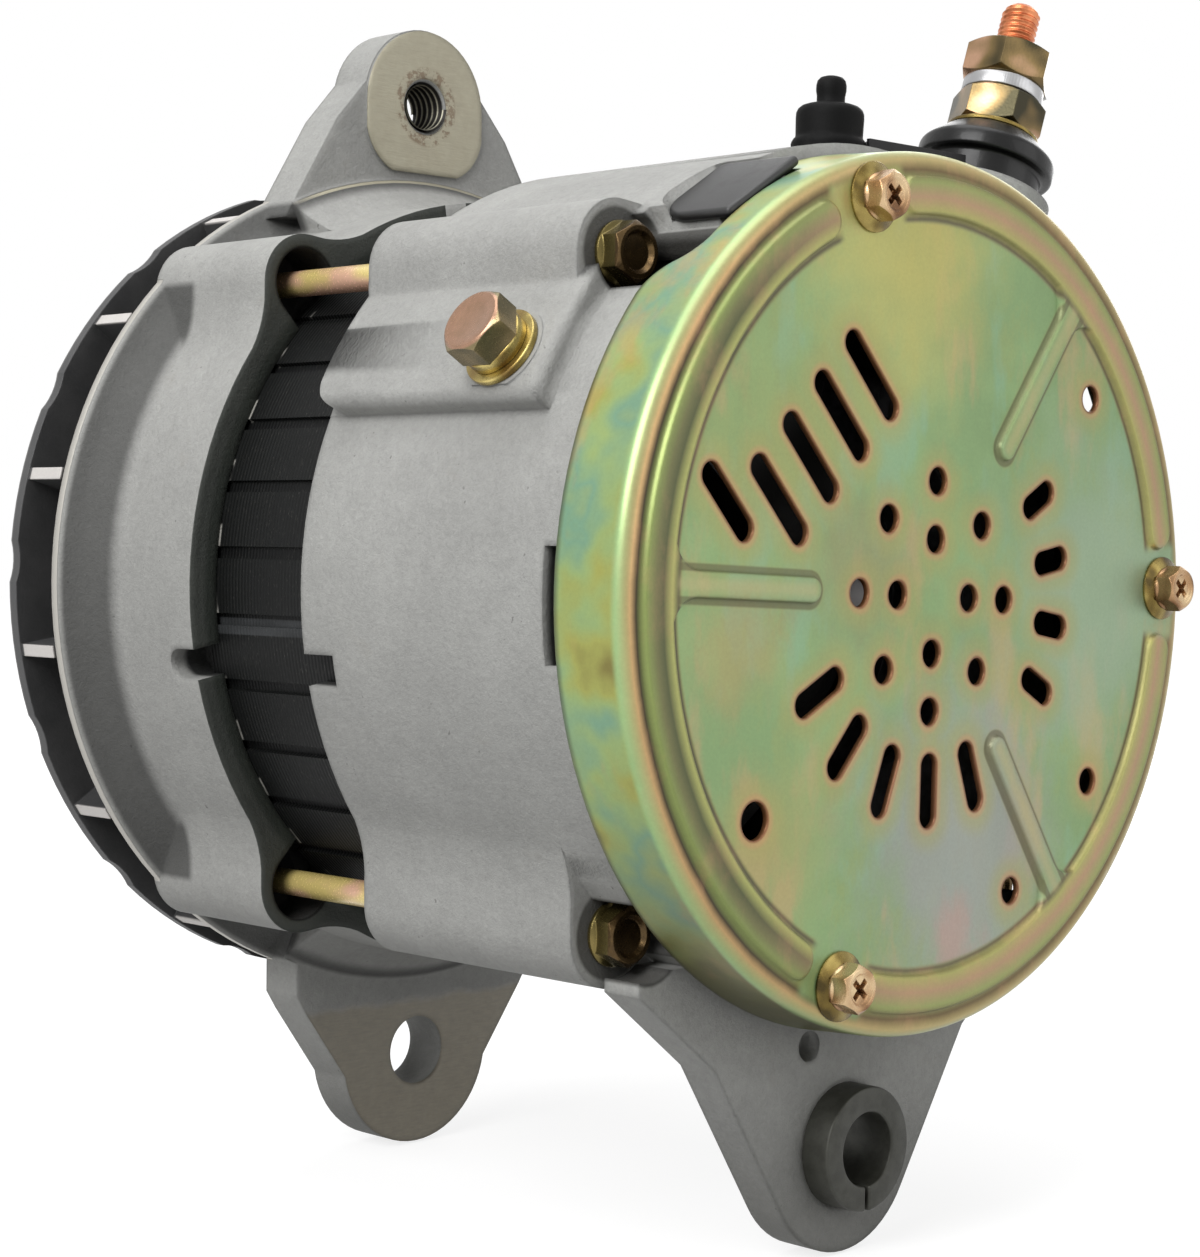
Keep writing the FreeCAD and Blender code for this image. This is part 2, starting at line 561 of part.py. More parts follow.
def draw_outline(sketch, corners):
    """A closed outline. A corner is (x, y) or (x, y, radius, side) when an arc leads to the next."""
    points = [Vector(value_of(corner[0]), value_of(corner[1]), 0) for corner in corners]
    ends = []
    for index, corner in enumerate(corners):
        start = points[index]
        end = points[(index + 1) % len(points)]
        if len(corner) == 2:
            edge = sketch.addGeometry(Part.LineSegment(start, end))
            ends.append((edge, 1, 2))
            continue
        edge = sketch.addGeometry(arc_between(start, end, value_of(corner[2]), corner[3]))
        hold_radius(sketch, edge, corner[2])
        ends.append((edge, 1, 2) if corner[3] > 0 else (edge, 2, 1))
    for index, corner in enumerate(corners):
        edge, start, end = ends[index]
        following, first, last = ends[(index + 1) % len(ends)]
        sketch.addConstraint(Sketcher.Constraint("Coincident", edge, end, following, first))
        hold_point(sketch, edge, start, corner[0], corner[1])


def draw_box(sketch, left, low, right, high):
    """An upright rectangle."""
    draw_outline(sketch, [(left, low), (right, low), (right, high), (left, high)])


def draw_hexagon(sketch, flats):
    """A hexagon about the sketch's origin."""
    reach = f"({flats}) / 2 / cos(30)"
    corners = [(f"{reach} * cos({60 * turn})", f"{reach} * sin({60 * turn})") for turn in range(6)]
    draw_outline(sketch, corners)


def draw_slot(sketch, x, y, length, width):
    """A slot with round ends along the sketch's first axis."""
    reach = f"(({length}) - ({width})) / 2"
    half = value_of(f"({width}) / 2")
    left = Vector(value_of(f"{x} - {reach}"), value_of(y), 0)
    right = Vector(value_of(f"{x} + {reach}"), value_of(y), 0)
    up = Vector(0, half, 0)
    axis = Vector(0, 0, 1)
    begin = sketch.addGeometry(Part.ArcOfCircle(Part.Circle(left, axis, half), math.pi / 2, 3 * math.pi / 2))
    finish = sketch.addGeometry(Part.ArcOfCircle(Part.Circle(right, axis, half), -math.pi / 2, math.pi / 2))
    top = sketch.addGeometry(Part.LineSegment(right + up, left + up))
    bottom = sketch.addGeometry(Part.LineSegment(left - up, right - up))
    joined = [(begin, 1, top, 2), (begin, 2, bottom, 1), (bottom, 2, finish, 1), (finish, 2, top, 1)]
    for first, end, second, start in joined:
        sketch.addConstraint(Sketcher.Constraint("Tangent", first, end, second, start))
    sketch.addConstraint(Sketcher.Constraint("Equal", begin, finish))
    hold_radius(sketch, begin, f"({width}) / 2")
    hold_point(sketch, begin, 3, f"{x} - {reach}", y)
    hold_point(sketch, finish, 3, f"{x} + {reach}", y)


def draw_sector(sketch, inner, outer, low, high):
    """A piece of a ring about the sketch's origin, between two angles."""
    draw_outline(
        sketch,
        [
            (f"({inner}) * cos({low})", f"({inner}) * sin({low})"),
            (f"({outer}) * cos({low})", f"({outer}) * sin({low})", outer, 1),
            (f"({outer}) * cos({high})", f"({outer}) * sin({high})"),
            (f"({inner}) * cos({high})", f"({inner}) * sin({high})", inner, -1),
        ],
    )


# Features

def pad(body, sketch, length, reverse=False, middle=False, taper=None):
    """Material from a sketch, against its normal when reversed."""
    feature = body.newObject("PartDesign::Pad", body.Label + "_pad")
    feature.Profile = sketch
    bind(feature, "Length", length)
    feature.Reversed = reverse
    feature.Midplane = middle
    if taper:
        bind(feature, "TaperAngle", taper)
    sketch.Visibility = False
    return feature


def pocket(body, sketch, length, reverse=False, middle=False):
    """A cut from a sketch, along its normal when reversed."""
    feature = body.newObject("PartDesign::Pocket", body.Label + "_pocket")
    feature.Profile = sketch
    bind(feature, "Length", length)
    feature.Reversed = reverse
    feature.Midplane = middle
    sketch.Visibility = False
    return feature


def turn(body, sketch, angle=None, kind="PartDesign::Revolution"):
    """A shape turned about the shaft's line, all round or over an angle to both sides."""
    feature = body.newObject(kind, body.Label + "_turn")
    feature.Profile = sketch
    feature.ReferenceAxis = (origin_of(body, "Y_Axis"), [""])
    feature.Angle = 360
    if angle:
        feature.Midplane = True
        bind(feature, "Angle", angle)
    sketch.Visibility = False
    return feature


def lathe(body, corners, angle=None, middle="0"):
    """A turned piece from its outline, given as distance from the shaft and station."""
    sketch = side_sketch(body, middle)
    draw_outline(sketch, corners)
    return turn(body, sketch, angle)


def ring(body, inner, outer, low, high, angle=None, middle="0"):
    """A plain ring about the shaft, or a piece of one."""
    return lathe(body, [(inner, low), (outer, low), (outer, high), (inner, high)], angle, middle)


def repeat(body, features, count, pitch=None, along=True):
    """Copies of features round the shaft, evenly or at a pitch."""
    pattern = body.newObject("PartDesign::PolarPattern", body.Label + "_pattern")
    pattern.Originals = features
    pattern.Axis = (origin_of(body, "Y_Axis"), [""])
    pattern.Reversed = along
    bind(pattern, "Occurrences", count)
    if pitch:
        bind(pattern, "Angle", f"({pitch}) * (({count}) - 1)")
    else:
        pattern.Angle = 360
    body.Tip = pattern
    return pattern


def drill(body, station, depth, places, x="0", z="0", angle="0"):
    """Round holes along +Y from a station: places are (x, z, radius) in the turned frame."""
    sketch = cross_sketch(body, station, x, z, angle)
    for across, up, radius in places:
        draw_circle(sketch, across, up, radius)
    return pocket(body, sketch, depth)


def edges_of(body, wanted):
    """The edges of the body's shape so far that a test picks."""
    doc.recompute()
    edges = enumerate(body.Tip.Shape.Edges, start=1)
    return body.Tip, [f"Edge{number}" for number, edge in edges if wanted(edge)]


def bevel(body, size, wanted):
    """Chamfer the edges that a test picks."""
    base = edges_of(body, wanted)
    feature = body.newObject("PartDesign::Chamfer", body.Label + "_chamfer")
    feature.Base = base
    bind(feature, "Size", size)
    return feature


def circle_at(edge, x, z, radius):
    """Whether an edge is a full circle across the shaft of one radius about one point."""
    curve = edge.Curve
    if curve.TypeId != "Part::GeomCircle" or abs(curve.Radius - radius) > 0.01:
        return False
    return abs(curve.Center.x - x) < 0.01 and abs(curve.Center.z - z) < 0.01


def stand(body, angle, x="0", z="0", station=TERMINALS):
    """Turn a piece built along Z so that it stands out at an angle round the shaft."""
    put(body, "Placement", x, station, z, Vector(0, 1, 0), f"90 - ({angle})")


# Casings

def bolt_place(angle):
    """One through bolt's place from its angle."""
    return f"boltRing * cos({angle})", f"boltRing * sin({angle})"


def add_lobes(body, shell, start, length):
    """Lobes round the through bolts, with hollow flanks that run out on the shell."""
    root = f"({shell} - castWall / 2)"
    foot = f"({shell} - coreFit)"
    side = "lobeRadius * sin(lobeFlank)"
    crest = "boltRing + lobeRadius * cos(lobeFlank)"
    flank = f"({side} + lobeRun * cos(lobeFlank))"
    below = f"{crest} - lobeRun * sin(lobeFlank)"
    for angle in BOLTS:
        sketch = cross_sketch(body, start, angle=angle)
        draw_outline(
            sketch,
            [
                (f"{root} * cos(lobeSpread)", f"-{root} * sin(lobeSpread)"),
                (f"{foot} * cos(lobeSpread)", f"-{foot} * sin(lobeSpread)", "lobeBlend", -1),
                (below, f"-{flank}"),
                (crest, f"-{side}", "lobeRadius", 1),
                (crest, side),
                (below, flank, "lobeBlend", -1),
                (f"{foot} * cos(lobeSpread)", f"{foot} * sin(lobeSpread)"),
                (f"{root} * cos(lobeSpread)", f"{root} * sin(lobeSpread)"),
            ],
        )
        pad(body, sketch, length, reverse=True)


def cut_bolt_holes(body, start, length, radius):
    """Holes for the through bolts."""
    places = [bolt_place(angle) + (radius,) for angle in BOLTS]
    drill(body, start, length, places)


def cut_notch(body, angle, distance, start, width, depth):
    """A notch through the casing's wall at one angle, open towards a rim."""
    sketch = facing_sketch(body, angle, f"{distance} + lobeRadius", start)
    draw_box(sketch, f"-({width}) / 2", "0", f"({width}) / 2", depth)
    pocket(body, sketch, "lobeRadius + 2 * castWall")


def cut_round_notch(body, angle):
    """A notch in the front casing's rim with a round closed end."""
    sketch = facing_sketch(body, angle, "frontRadius + lobeRadius", f"{FRONT_RIM} - cutOver")
    half = "notchWidth / 2"
    depth = "(notchDepth + cutOver)"
    draw_outline(
        sketch,
        [
            (f"-{half}", "0"),
            (half, "0"),
            (half, f"{depth} - {half}", half, 1),
            ("0", depth, half, 1),
            (f"-{half}", f"{depth} - {half}"),
        ],
    )
    pocket(body, sketch, "lobeRadius + 2 * castWall")


def cut_boss_pockets(body):
    """Pockets round the bolts at the front casing's rim, open towards the core."""
    for angle in BOLTS:
        sketch = cross_sketch(body, f"{FRONT_RIM} - cutOver", angle=angle)
        draw_outline(
            sketch,
            [
                ("coreRadius - seatLedge", "-bossPocket"),
                ("boltRing", "-bossPocket", "bossPocket", 1),
                ("boltRing + bossPocket", "0", "bossPocket", 1),
                ("boltRing", "bossPocket"),
                ("coreRadius - seatLedge", "bossPocket"),
            ],
        )
        pocket(body, sketch, "bossPocketDepth + cutOver")


def front_shell(body):
    """Cup with its end wall, bearing hub and flange."""
    lip = f"{FRONT} - lipWidth - lipEdge"
    lathe(
        body,
        [
            ("coreRadius + coreFit", FRONT_RIM),
            ("frontRadius", FRONT_RIM),
            ("frontRadius", f"{lip} - lipSlope * {LIP_HOLLOW}", f"lipCurve * {LIP_HOLLOW}", -1),
            ("lipRadius - lipEdge", lip),
            ("lipRadius", f"{FRONT} - lipWidth"),
            ("lipRadius", FRONT),
            ("collarRadius + hubPlay", FRONT),
            ("collarRadius + hubPlay", FRONT_BEARING),
            ("frontRace + seatClearance", FRONT_BEARING),
            ("frontRace + seatClearance", FRONT_SHOULDER),
            ("frontRace + hubWall", FRONT_SHOULDER),
            ("frontRace + hubWall", f"{FRONT} - frontWall"),
            ("coreRadius - seatLedge", f"{FRONT} - frontWall"),
            ("coreRadius - seatLedge", CORE_FRONT),
            ("coreRadius + coreFit", CORE_FRONT),
        ],
    )


def add_gusset(body, length, span, middle):
    """Hollow gusset that carries the ear or the lug on the casing's outside."""
    root = "frontRadius - castWall / 2"
    lathe(
        body,
        [
            (root, EAR_BACK),
            (root, f"{EAR_BACK} - {length}", "gussetCurve", -1),
            ("frontRadius + gussetRise", EAR_BACK),
        ],
        span,
        middle,
    )


def add_front_ear(body):
    """Upper ear with its machined face and gusset."""
    sketch = cross_sketch(body, EAR_BACK)
    across = "earTopRadius * cos(earTangent)"
    height = "earHeight + earTopRadius * sin(earTangent)"
    draw_outline(
        sketch,
        [
            ("-earFoot", EAR_FOOT),
            ("earFoot", EAR_FOOT),
            ("earNeck", EAR_NECK),
            (across, height, "earTopRadius", 1),
            (f"-{across}", height),
            ("-earNeck", EAR_NECK),
        ],
    )
    pad(body, sketch, "earThickness", reverse=True)
    face = cross_sketch(body, EAR_BACK)
    reach = "(earTopRadius - earFaceInset)"
    draw_outline(
        face,
        [
            ("-earFaceFoot", "earHeight - earFaceDrop"),
            ("earFaceFoot", "earHeight - earFaceDrop", "earFaceRound", 1),
            (reach, "earHeight - earFaceSide"),
            (reach, "earHeight", reach, 1),
            ("0", f"earHeight + {reach}", reach, 1),
            (f"-{reach}", "earHeight"),
            (f"-{reach}", "earHeight - earFaceSide", "earFaceRound", 1),
        ],
    )
    pad(body, face, "earFace")
    add_gusset(body, "earGusset", "earGussetSpan", "90")


def add_front_lug(body):
    """Lower lug of the front casing with its gusset."""
    sketch = cross_sketch(body, EAR_BACK)
    reach = "lugRadius * cos(lugSide)"
    depth = "-(pivotDrop + lugRadius * sin(lugSide))"
    draw_outline(
        sketch,
        [
            ("lugFoot", "-(frontRadius - 2 * castWall)"),
            ("-lugFoot", "-(frontRadius - 2 * castWall)"),
            ("-lugFoot", "-lugFootDrop"),
            ("-lugWaist", "-lugWaistDrop"),
            (f"-{reach}", depth, "lugRadius", 1),
            (reach, depth),
            ("lugWaist", "-lugWaistDrop"),
            ("lugFoot", "-lugFootDrop"),
        ],
    )
    pad(body, sketch, "earThickness", reverse=True)
    add_gusset(body, "lugGusset", "lugGussetSpan", "-90")


def cut_front_windows(body):
    """Air windows all round the front end wall."""
    sketch = cross_sketch(body, f"{FRONT} - frontWall - cutOver")
    draw_sector(sketch, "windowInner", "windowOuter", "-windowSpan / 2", "windowSpan / 2")
    window = pocket(body, sketch, "frontWall + 2 * cutOver")
    repeat(body, [window], "windowCount")


def make_front_housing():
    """Front casing."""
    body = new_body("front_housing")
    front_shell(body)
    add_lobes(body, "frontRadius", FRONT_RIM, "frontDepth")
    add_front_ear(body)
    add_front_lug(body)
    sketch = cross_sketch(body, f"{FRONT_RIM} - cutOver")
    draw_circle(sketch, "0", "0", "coreRadius + coreFit")
    pocket(body, sketch, "seatDepth + cutOver")
    sketch = cross_sketch(body, FRONT_RIM)
    draw_circle(sketch, "0", "0", "coreRadius - seatLedge")
    pocket(body, sketch, "frontDepth - frontWall")
    ring(body, "frontRace + seatClearance", "frontRace + hubWall", FRONT_SHOULDER, f"{FRONT} - frontWall")
    cut_front_windows(body)
    cut_bolt_holes(body, f"{FRONT_RIM} - cutOver", "frontDepth - boltBlind", "boltRadius + boltClearance")
    cut_boss_pockets(body)
    drill(body, f"{EAR_BACK} - cutOver", "earThickness + 2 * cutOver", [("0", "earHeight", "earBore")])
    drill(body, f"{EAR_BACK} - cutOver", "earThickness + 2 * cutOver", [("0", "-pivotDrop", "lugBore")])
    cut_round_notch(body, "notchAngle")
    cut_round_notch(body, "topNotchAngle")
    cut_retainer_holes(body)
    height = value_of("earHeight")
    bore = value_of("earBore")
    bevel(body, "earMouth - earBore", lambda edge: circle_at(edge, 0, height, bore))
    return body


def cut_retainer_holes(body):
    """Blind holes for the retaining plate's screws."""
    hole = drill(
        body,
        f"{FRONT_SHOULDER} - cutOver",
        "retainerReach + cutOver",
        [("retainerRing", "0", "retainerScrew + seatClearance")],
        angle="retainerTurn",
    )
    repeat(body, [hole], "retainerCount")


def rear_shell(body):
    """Barrel with the bearing wall and its hub; open at both ends."""
    ring(body, "rearRadius - castWall", "rearRadius", BACK_RIM, REAR_RIM)
    ring(body, "bearingShaft + hubPlay", "rearRadius - castWall / 2", WALL_BACK, WALL_FRONT)
    ring(body, "bearingShaft + hubPlay", "rearRace + rearHubWall", REAR_HUB, REAR_SHOULDER)


def add_pad(body):
    """Raised pad over the top, in three lengths."""
    parts = [
        ("padStart", "padStep", "padNear"),
        ("padStep", "padTurn", "0"),
        ("padTurn", "padEnd", "padLate"),
    ]
    for low, high, start in parts:
        span = f"({high}) - ({low})"
        middle = f"(({high}) + ({low})) / 2"
        ring(body, "rearRadius - castWall / 2", "padRadius", f"{BACK_RIM} + {start}", REAR_RIM, span, middle)


def add_rear_lug(body):
    """Lower lug of the rear casing; its foot follows the lobes beside it."""
    sketch = cross_sketch(body, LUG_FACE)
    reach = "lugRadius * cos(lugTangent)"
    depth = "-(pivotDrop + lugRadius * sin(lugTangent))"
    inner = "(rearRadius - 2 * castWall)"
    x, z = bolt_place("boltLower")
    corner = (f"({inner} * cos(lugFootInner))", f"{inner} * sin(lugFootInner)")
    leave = (f"({x} + lobeRadius * cos(lugFootEnd))", f"{z} + lobeRadius * sin(lugFootEnd)")
    meet = (f"({x} + lobeRadius * cos(lugFootTurn))", f"{z} + lobeRadius * sin(lugFootTurn)")
    draw_outline(
        sketch,
        [
            ("-" + corner[0], corner[1]),
            corner,
            leave + ("lobeRadius", 1),
            meet,
            ("-rearLugWaist", "-rearLugWaistDrop"),
            (f"-{reach}", depth, "lugRadius", 1),
            (reach, depth),
            ("rearLugWaist", "-rearLugWaistDrop"),
            ("-" + meet[0], meet[1], "lobeRadius", 1),
            ("-" + leave[0], leave[1]),
        ],
    )
    pad(body, sketch, "lugThickness", reverse=True)


def add_cover_posts(body):
    """Posts in the chamber that the cover is screwed to."""
    for angle in COVER_SCREWS:
        sketch = cross_sketch(body, f"{COVER} + sheet", angle=f"{angle} + patternTurn")
        draw_circle(sketch, "screwRing", "0", "postRadius")
        pad(body, sketch, f"{WALL_BACK} - ({COVER} + sheet)", reverse=True)


def cut_post_holes(body):
    """Blind holes in those posts."""
    for angle in COVER_SCREWS:
        drill(
            body,
            f"{COVER} + sheet - cutOver",
            "screwReach + 2 * cutOver",
            [("screwRing", "0", "screwRadius + seatClearance")],
            angle=f"{angle} + patternTurn",
        )


def add_terminal_bosses(body):
    """Cast bosses under the output terminal and the ground bolt."""
    sketch = facing_sketch(body, "outputAngle", BOSS_END, TERMINALS, "outputX", "outputZ")
    draw_circle(sketch, "0", "0", "outputBoss")
    pad(body, sketch, f"{BOSS_END} - outputBossRoot", reverse=True)
    sketch = facing_sketch(body, "groundAngle", GROUND_SEAT, f"{BACK_RIM} + groundStation")
    draw_circle(sketch, "0", "0", "groundBoss")
    pad(body, sketch, f"{GROUND_SEAT} - rearRadius + castWall", reverse=True)


def cut_terminal_holes(body):
    """Holes for the output stud, the signal terminal and the ground bolt."""
    sketch = facing_sketch(body, "outputAngle", f"{BOSS_END} + cutOver", TERMINALS, "outputX", "outputZ")
    draw_circle(sketch, "0", "0", "outputBore")
    pocket(body, sketch, f"{BOSS_END} + cutOver - studStart")
    sketch = facing_sketch(body, "signalAngle", "padRadius + cutOver", TERMINALS)
    draw_circle(sketch, "0", "0", "signalPin + boltClearance")
    pocket(body, sketch, "castWall * 4")
    sketch = facing_sketch(body, "groundAngle", f"{GROUND_SEAT} + cutOver", f"{BACK_RIM} + groundStation")
    draw_circle(sketch, "0", "0", "groundShank + seatClearance")
    pocket(body, sketch, "groundReach + 2 * cutOver")


def cut_ducts(body):
    """Air ducts through the bearing wall."""
    sketch = cross_sketch(body, f"{WALL_BACK} - cutOver", angle="ductStart")
    draw_sector(sketch, "ductInner", "ductOuter", "-ductSpan / 2", "ductSpan / 2")
    duct = pocket(body, sketch, "partitionWall + 2 * cutOver")
    repeat(body, [duct], "ductCount", "ductPitch")


def make_rear_housing():
    """Rear casing."""
    body = new_body("rear_housing")
    rear_shell(body)
    add_pad(body)
    add_lobes(body, "rearRadius", BOLT_SEAT, "rearDepth - lobeStart")
    add_rear_lug(body)
    add_terminal_bosses(body)
    sketch = cross_sketch(body, f"{WALL_FRONT}")
    draw_circle(sketch, "0", "0", "coreRadius - seatLedge")
    pocket(body, sketch, "rearDepth")
    sketch = cross_sketch(body, f"{CORE_BACK}")
    draw_circle(sketch, "0", "0", "coreRadius + coreFit")
    pocket(body, sketch, "seatDepth + cutOver")
    sketch = cross_sketch(body, f"{COVER}")
    draw_circle(sketch, "0", "0", "rearRadius - castWall")
    pocket(body, sketch, f"{WALL_BACK} - {COVER}")
    ring(body, "bearingShaft + hubPlay", "rearRace + rearHubWall", REAR_HUB, REAR_SHOULDER)
    drill(body, REAR_BEARING, "rearWidth + cutOver", [("0", "0", "rearRace + seatClearance")])
    add_cover_posts(body)
    cut_post_holes(body)
    cut_ducts(body)
    cut_bolt_holes(body, f"{BOLT_SEAT} - cutOver", "rearDepth", "boltRadius + boltClearance")
    cut_bolt_holes(body, f"{BOLT_SEAT} - lobeStart", "lobeStart", "headPocket")
    bush = [("0", "-pivotDrop", "bushRadius + seatClearance")]
    drill(body, f"{LUG_FACE} - cutOver", "lugThickness + 2 * cutOver", bush)
    small = [("castPocketAcross", "-castPocketDrop", "castPocket")]
    drill(body, f"{LUG_FACE} - cutOver", "lugThickness / 2 + cutOver", small)
    cut_terminal_holes(body)
    notch = f"{REAR_RIM} - notchDepth"
    cut_notch(body, "notchAngle", "rearRadius", notch, "notchWidth", "notchDepth + cutOver")
    cut_notch(body, "ventAngle", "rearRadius", f"{BACK_RIM} - cutOver", "ventWidth", "ventDepth + cutOver")
    cut_flap_recess(body)
    return body


def flap_corners(start, play):
    """The flap's outline from one end, with play all round."""
    low = f"flapLeft - {play}"
    high = f"flapRight + {play}"
    end = f"flapEnd + {play}"
    return [
        (low, start),
        (high, start),
        (high, f"{end} - flapRound", "flapRound", 1),
        (f"{high} - flapRound", end),
        (f"{low} + flapCorner", end, "flapCorner", 1),
        (low, f"{end} - flapCorner"),
    ]


def cut_flap_recess(body):
    """Shallow recess in the pad for the rubber flap."""
    sketch = facing_sketch(body, "flapAngle", FLAP_FLOOR, BACK_RIM)
    draw_outline(sketch, flap_corners("-coverRise", "flapPlay"))
    pocket(body, sketch, "lobeRadius", reverse=True)


def make_pivot_bush():
    """Split bush in the rear lug."""
    body = new_body("pivot_bush")
    start = f"{LUG_FACE} - bushProud"
    length = "lugThickness + bushProud"
    sketch = cross_sketch(body, start, "0", "-pivotDrop")
    draw_circle(sketch, "0", "0", "bushRadius")
    draw_circle(sketch, "0", "0", "bushBore")
    pad(body, sketch, length, reverse=True)
    sketch = cross_sketch(body, f"{start} - cutOver", "0", "-pivotDrop")
    draw_box(sketch, "-bushSlit / 2", "-bushRadius - cutOver", "bushSlit / 2", "-bushBore + cutOver")
    pocket(body, sketch, f"{length} + 2 * cutOver")
    return body


def make_through_bolts():
    """Four long bolts with flanged hexagon heads."""
    body = new_body("through_bolts")
    for angle in BOLTS:
        x, z = bolt_place(angle)
        rod = cross_sketch(body, BOLT_SEAT, x, z)
        draw_circle(rod, "0", "0", "boltRadius")
        pad(body, rod, f"{FRONT} - boltShort - {BOLT_SEAT}", reverse=True)
        rim = cross_sketch(body, BOLT_SEAT, x, z)
        draw_circle(rim, "0", "0", "boltFlange")
        pad(body, rim, "flangeRim")
        head = cross_sketch(body, BOLT_SEAT, x, z)
        draw_hexagon(head, "boltFlats")
        pad(body, head, "boltHead")
    return body


# Rear cover

def cover_shell(body):
    """Pressed cup: face, bend and skirt."""
    lathe(
        body,
        [
            ("0", COVER),
            ("coverRadius - bendRadius", COVER, "bendRadius", 1),
            ("coverRadius", f"{COVER} + bendRadius"),
            ("skirtRadius", f"{COVER} + skirtDepth"),
            ("skirtRadius - sheet", f"{COVER} + skirtDepth"),
            ("coverRadius - sheet", f"{COVER} + bendRadius", "bendRadius - sheet", -1),
            ("coverRadius - bendRadius", f"{COVER} + sheet"),
            ("0", f"{COVER} + sheet"),
        ],
    )


def add_bead_arc(body, low, high):
    """One raised bead along the rim, with round ends."""
    span = f"({high}) - ({low})"
    middle = f"(({high}) + ({low})) / 2 + patternTurn"
    rise = "beadHeight * tan(beadTaper)"
    lathe(
        body,
        [
            ("beadRing - beadWidth / 2", COVER),
            (f"beadRing - beadWidth / 2 + {rise}", f"{COVER} - beadHeight"),
            (f"beadRing + beadWidth / 2 - {rise}", f"{COVER} - beadHeight"),
            ("beadRing + beadWidth / 2", COVER),
        ][::-1],
        span,
        middle,
    )
    for angle in (low, high):
        sketch = cross_sketch(body, COVER, angle=f"{angle} + patternTurn")
        draw_circle(sketch, "beadRing", "0", "beadWidth / 2")
        pad(body, sketch, "beadHeight", taper="-beadTaper")


def add_spoke(body, angle):
    """One raised bead from the rim towards the middle, flaring where it meets the rim's bead."""
    sketch = cross_sketch(body, COVER, angle=f"{angle} + patternTurn")
    edge = "(beadRing - beadWidth / 2)"
    half = "spokeWidth / 2"
    broad = f"({half} + spokeFlare)"
    end = f"spokeInner + {half}"
    draw_outline(
        sketch,
        [
            ("beadRing", f"-{broad}"),
            ("beadRing", broad),
            (edge, broad, "spokeFlare", -1),
            (f"{edge} - spokeFlare", half),
            (end, half, half, 1),
            ("spokeInner", "0", half, 1),
            (end, f"-{half}"),
            (f"{edge} - spokeFlare", f"-{half}", "spokeFlare", -1),
            (edge, f"-{broad}"),
        ],
    )
    pad(body, sketch, "beadHeight", taper="-beadTaper")


def cut_cover_holes(body):
    """All round holes of the cover."""
    depth = "sheet + 2 * beadHeight"
    start = f"{COVER} - 1.5 * beadHeight"
    for ring_name, angle in (("innerRing", "0"), ("outerRing", "0"), ("diagonalRing", "45")):
        places = [
            (f"{ring_name} * cos({angle} + {90 * k})", f"{ring_name} * sin({angle} + {90 * k})", "smallHole")
            for k in range(4)
        ]
        drill(body, start, depth, places, angle="patternTurn")
    for angle in EDGE_HOLES:
        drill(body, start, depth, [("edgeRing", "0", "smallHole")], angle=f"{angle} + patternTurn")
    drill(body, start, depth, [("edgeRing", "0", "largeHole")], angle=f"{LARGE_EDGE_HOLE} + patternTurn")
    screw = [("screwRing", "0", "screwRadius + boltClearance")]
    for angle in COVER_SCREWS:
        drill(body, start, depth, screw, angle=f"{angle} + patternTurn")


def cut_radial_slots(body, centre, length, count, pitch, start):
    """A fan of radial slots."""
    sketch = cross_sketch(body, f"{COVER} - cutOver", angle=f"{start} + patternTurn")
    draw_slot(sketch, centre, "0", length, "slotWidth")
    slot = pocket(body, sketch, "sheet + 2 * cutOver")
    repeat(body, [slot], count, pitch)


def cut_slanting_slot(body, x, z, length):
    """One slot of the slanting row."""
    across = f"({x}) * cos(patternTurn) - ({z}) * sin(patternTurn)"
    up = f"({x}) * sin(patternTurn) + ({z}) * cos(patternTurn)"
    sketch = cross_sketch(body, f"{COVER} - cutOver", across, up, "slantAngle + patternTurn")
    draw_slot(sketch, "0", "0", length, "slotWidth")
    return sketch, pocket(body, sketch, "sheet + 2 * cutOver")


def make_rear_cover():
    """Pressed rear cover with beads, holes and slots."""
    body = new_body("rear_cover")
    cover_shell(body)
    for low, high in BEAD_ARCS:
        add_bead_arc(body, low, high)
    for angle in SPOKES:
        add_spoke(body, angle)
    cut_cover_holes(body)
    for step in range(int(value_of("slantCount"))):
        x = f"slantX - {step} * slantPitch * sin(-slantAngle)"
        z = f"slantZ - {step} * slantPitch * cos(slantAngle)"
        cut_slanting_slot(body, x, z, "slantLength")
    cut_slanting_slot(body, "loneX", "loneZ", "loneLength")
    cut_radial_slots(body, "sideRing", "sideLength", "sideCount", "-sidePitch", "sideStart")
    cut_radial_slots(body, "lowerRing", "lowerLength", "lowerCount", "lowerPitch", "lowerStart")
    cut_relief(body)
    return body


def cut_relief(body):
    """Relief in the skirt over the flap, with a rounded step at one end."""
    sketch = facing_sketch(body, "reliefAngle", "skirtRadius + 2 * cutOver", f"{COVER} + reliefDepth")
    draw_outline(
        sketch,
        [
            ("-reliefStart", "0"),
            ("reliefWidth / 2", "0"),
            ("reliefWidth / 2", "skirtDepth"),
            ("-reliefEnd", "skirtDepth"),
            ("-reliefEnd", "skirtDepth - reliefDepth", "reliefOuter", -1),
            ("-reliefTurn", "reliefRise", "reliefInner", 1),
        ],
    )
    pocket(body, sketch, "lobeRadius + 2 * cutOver")


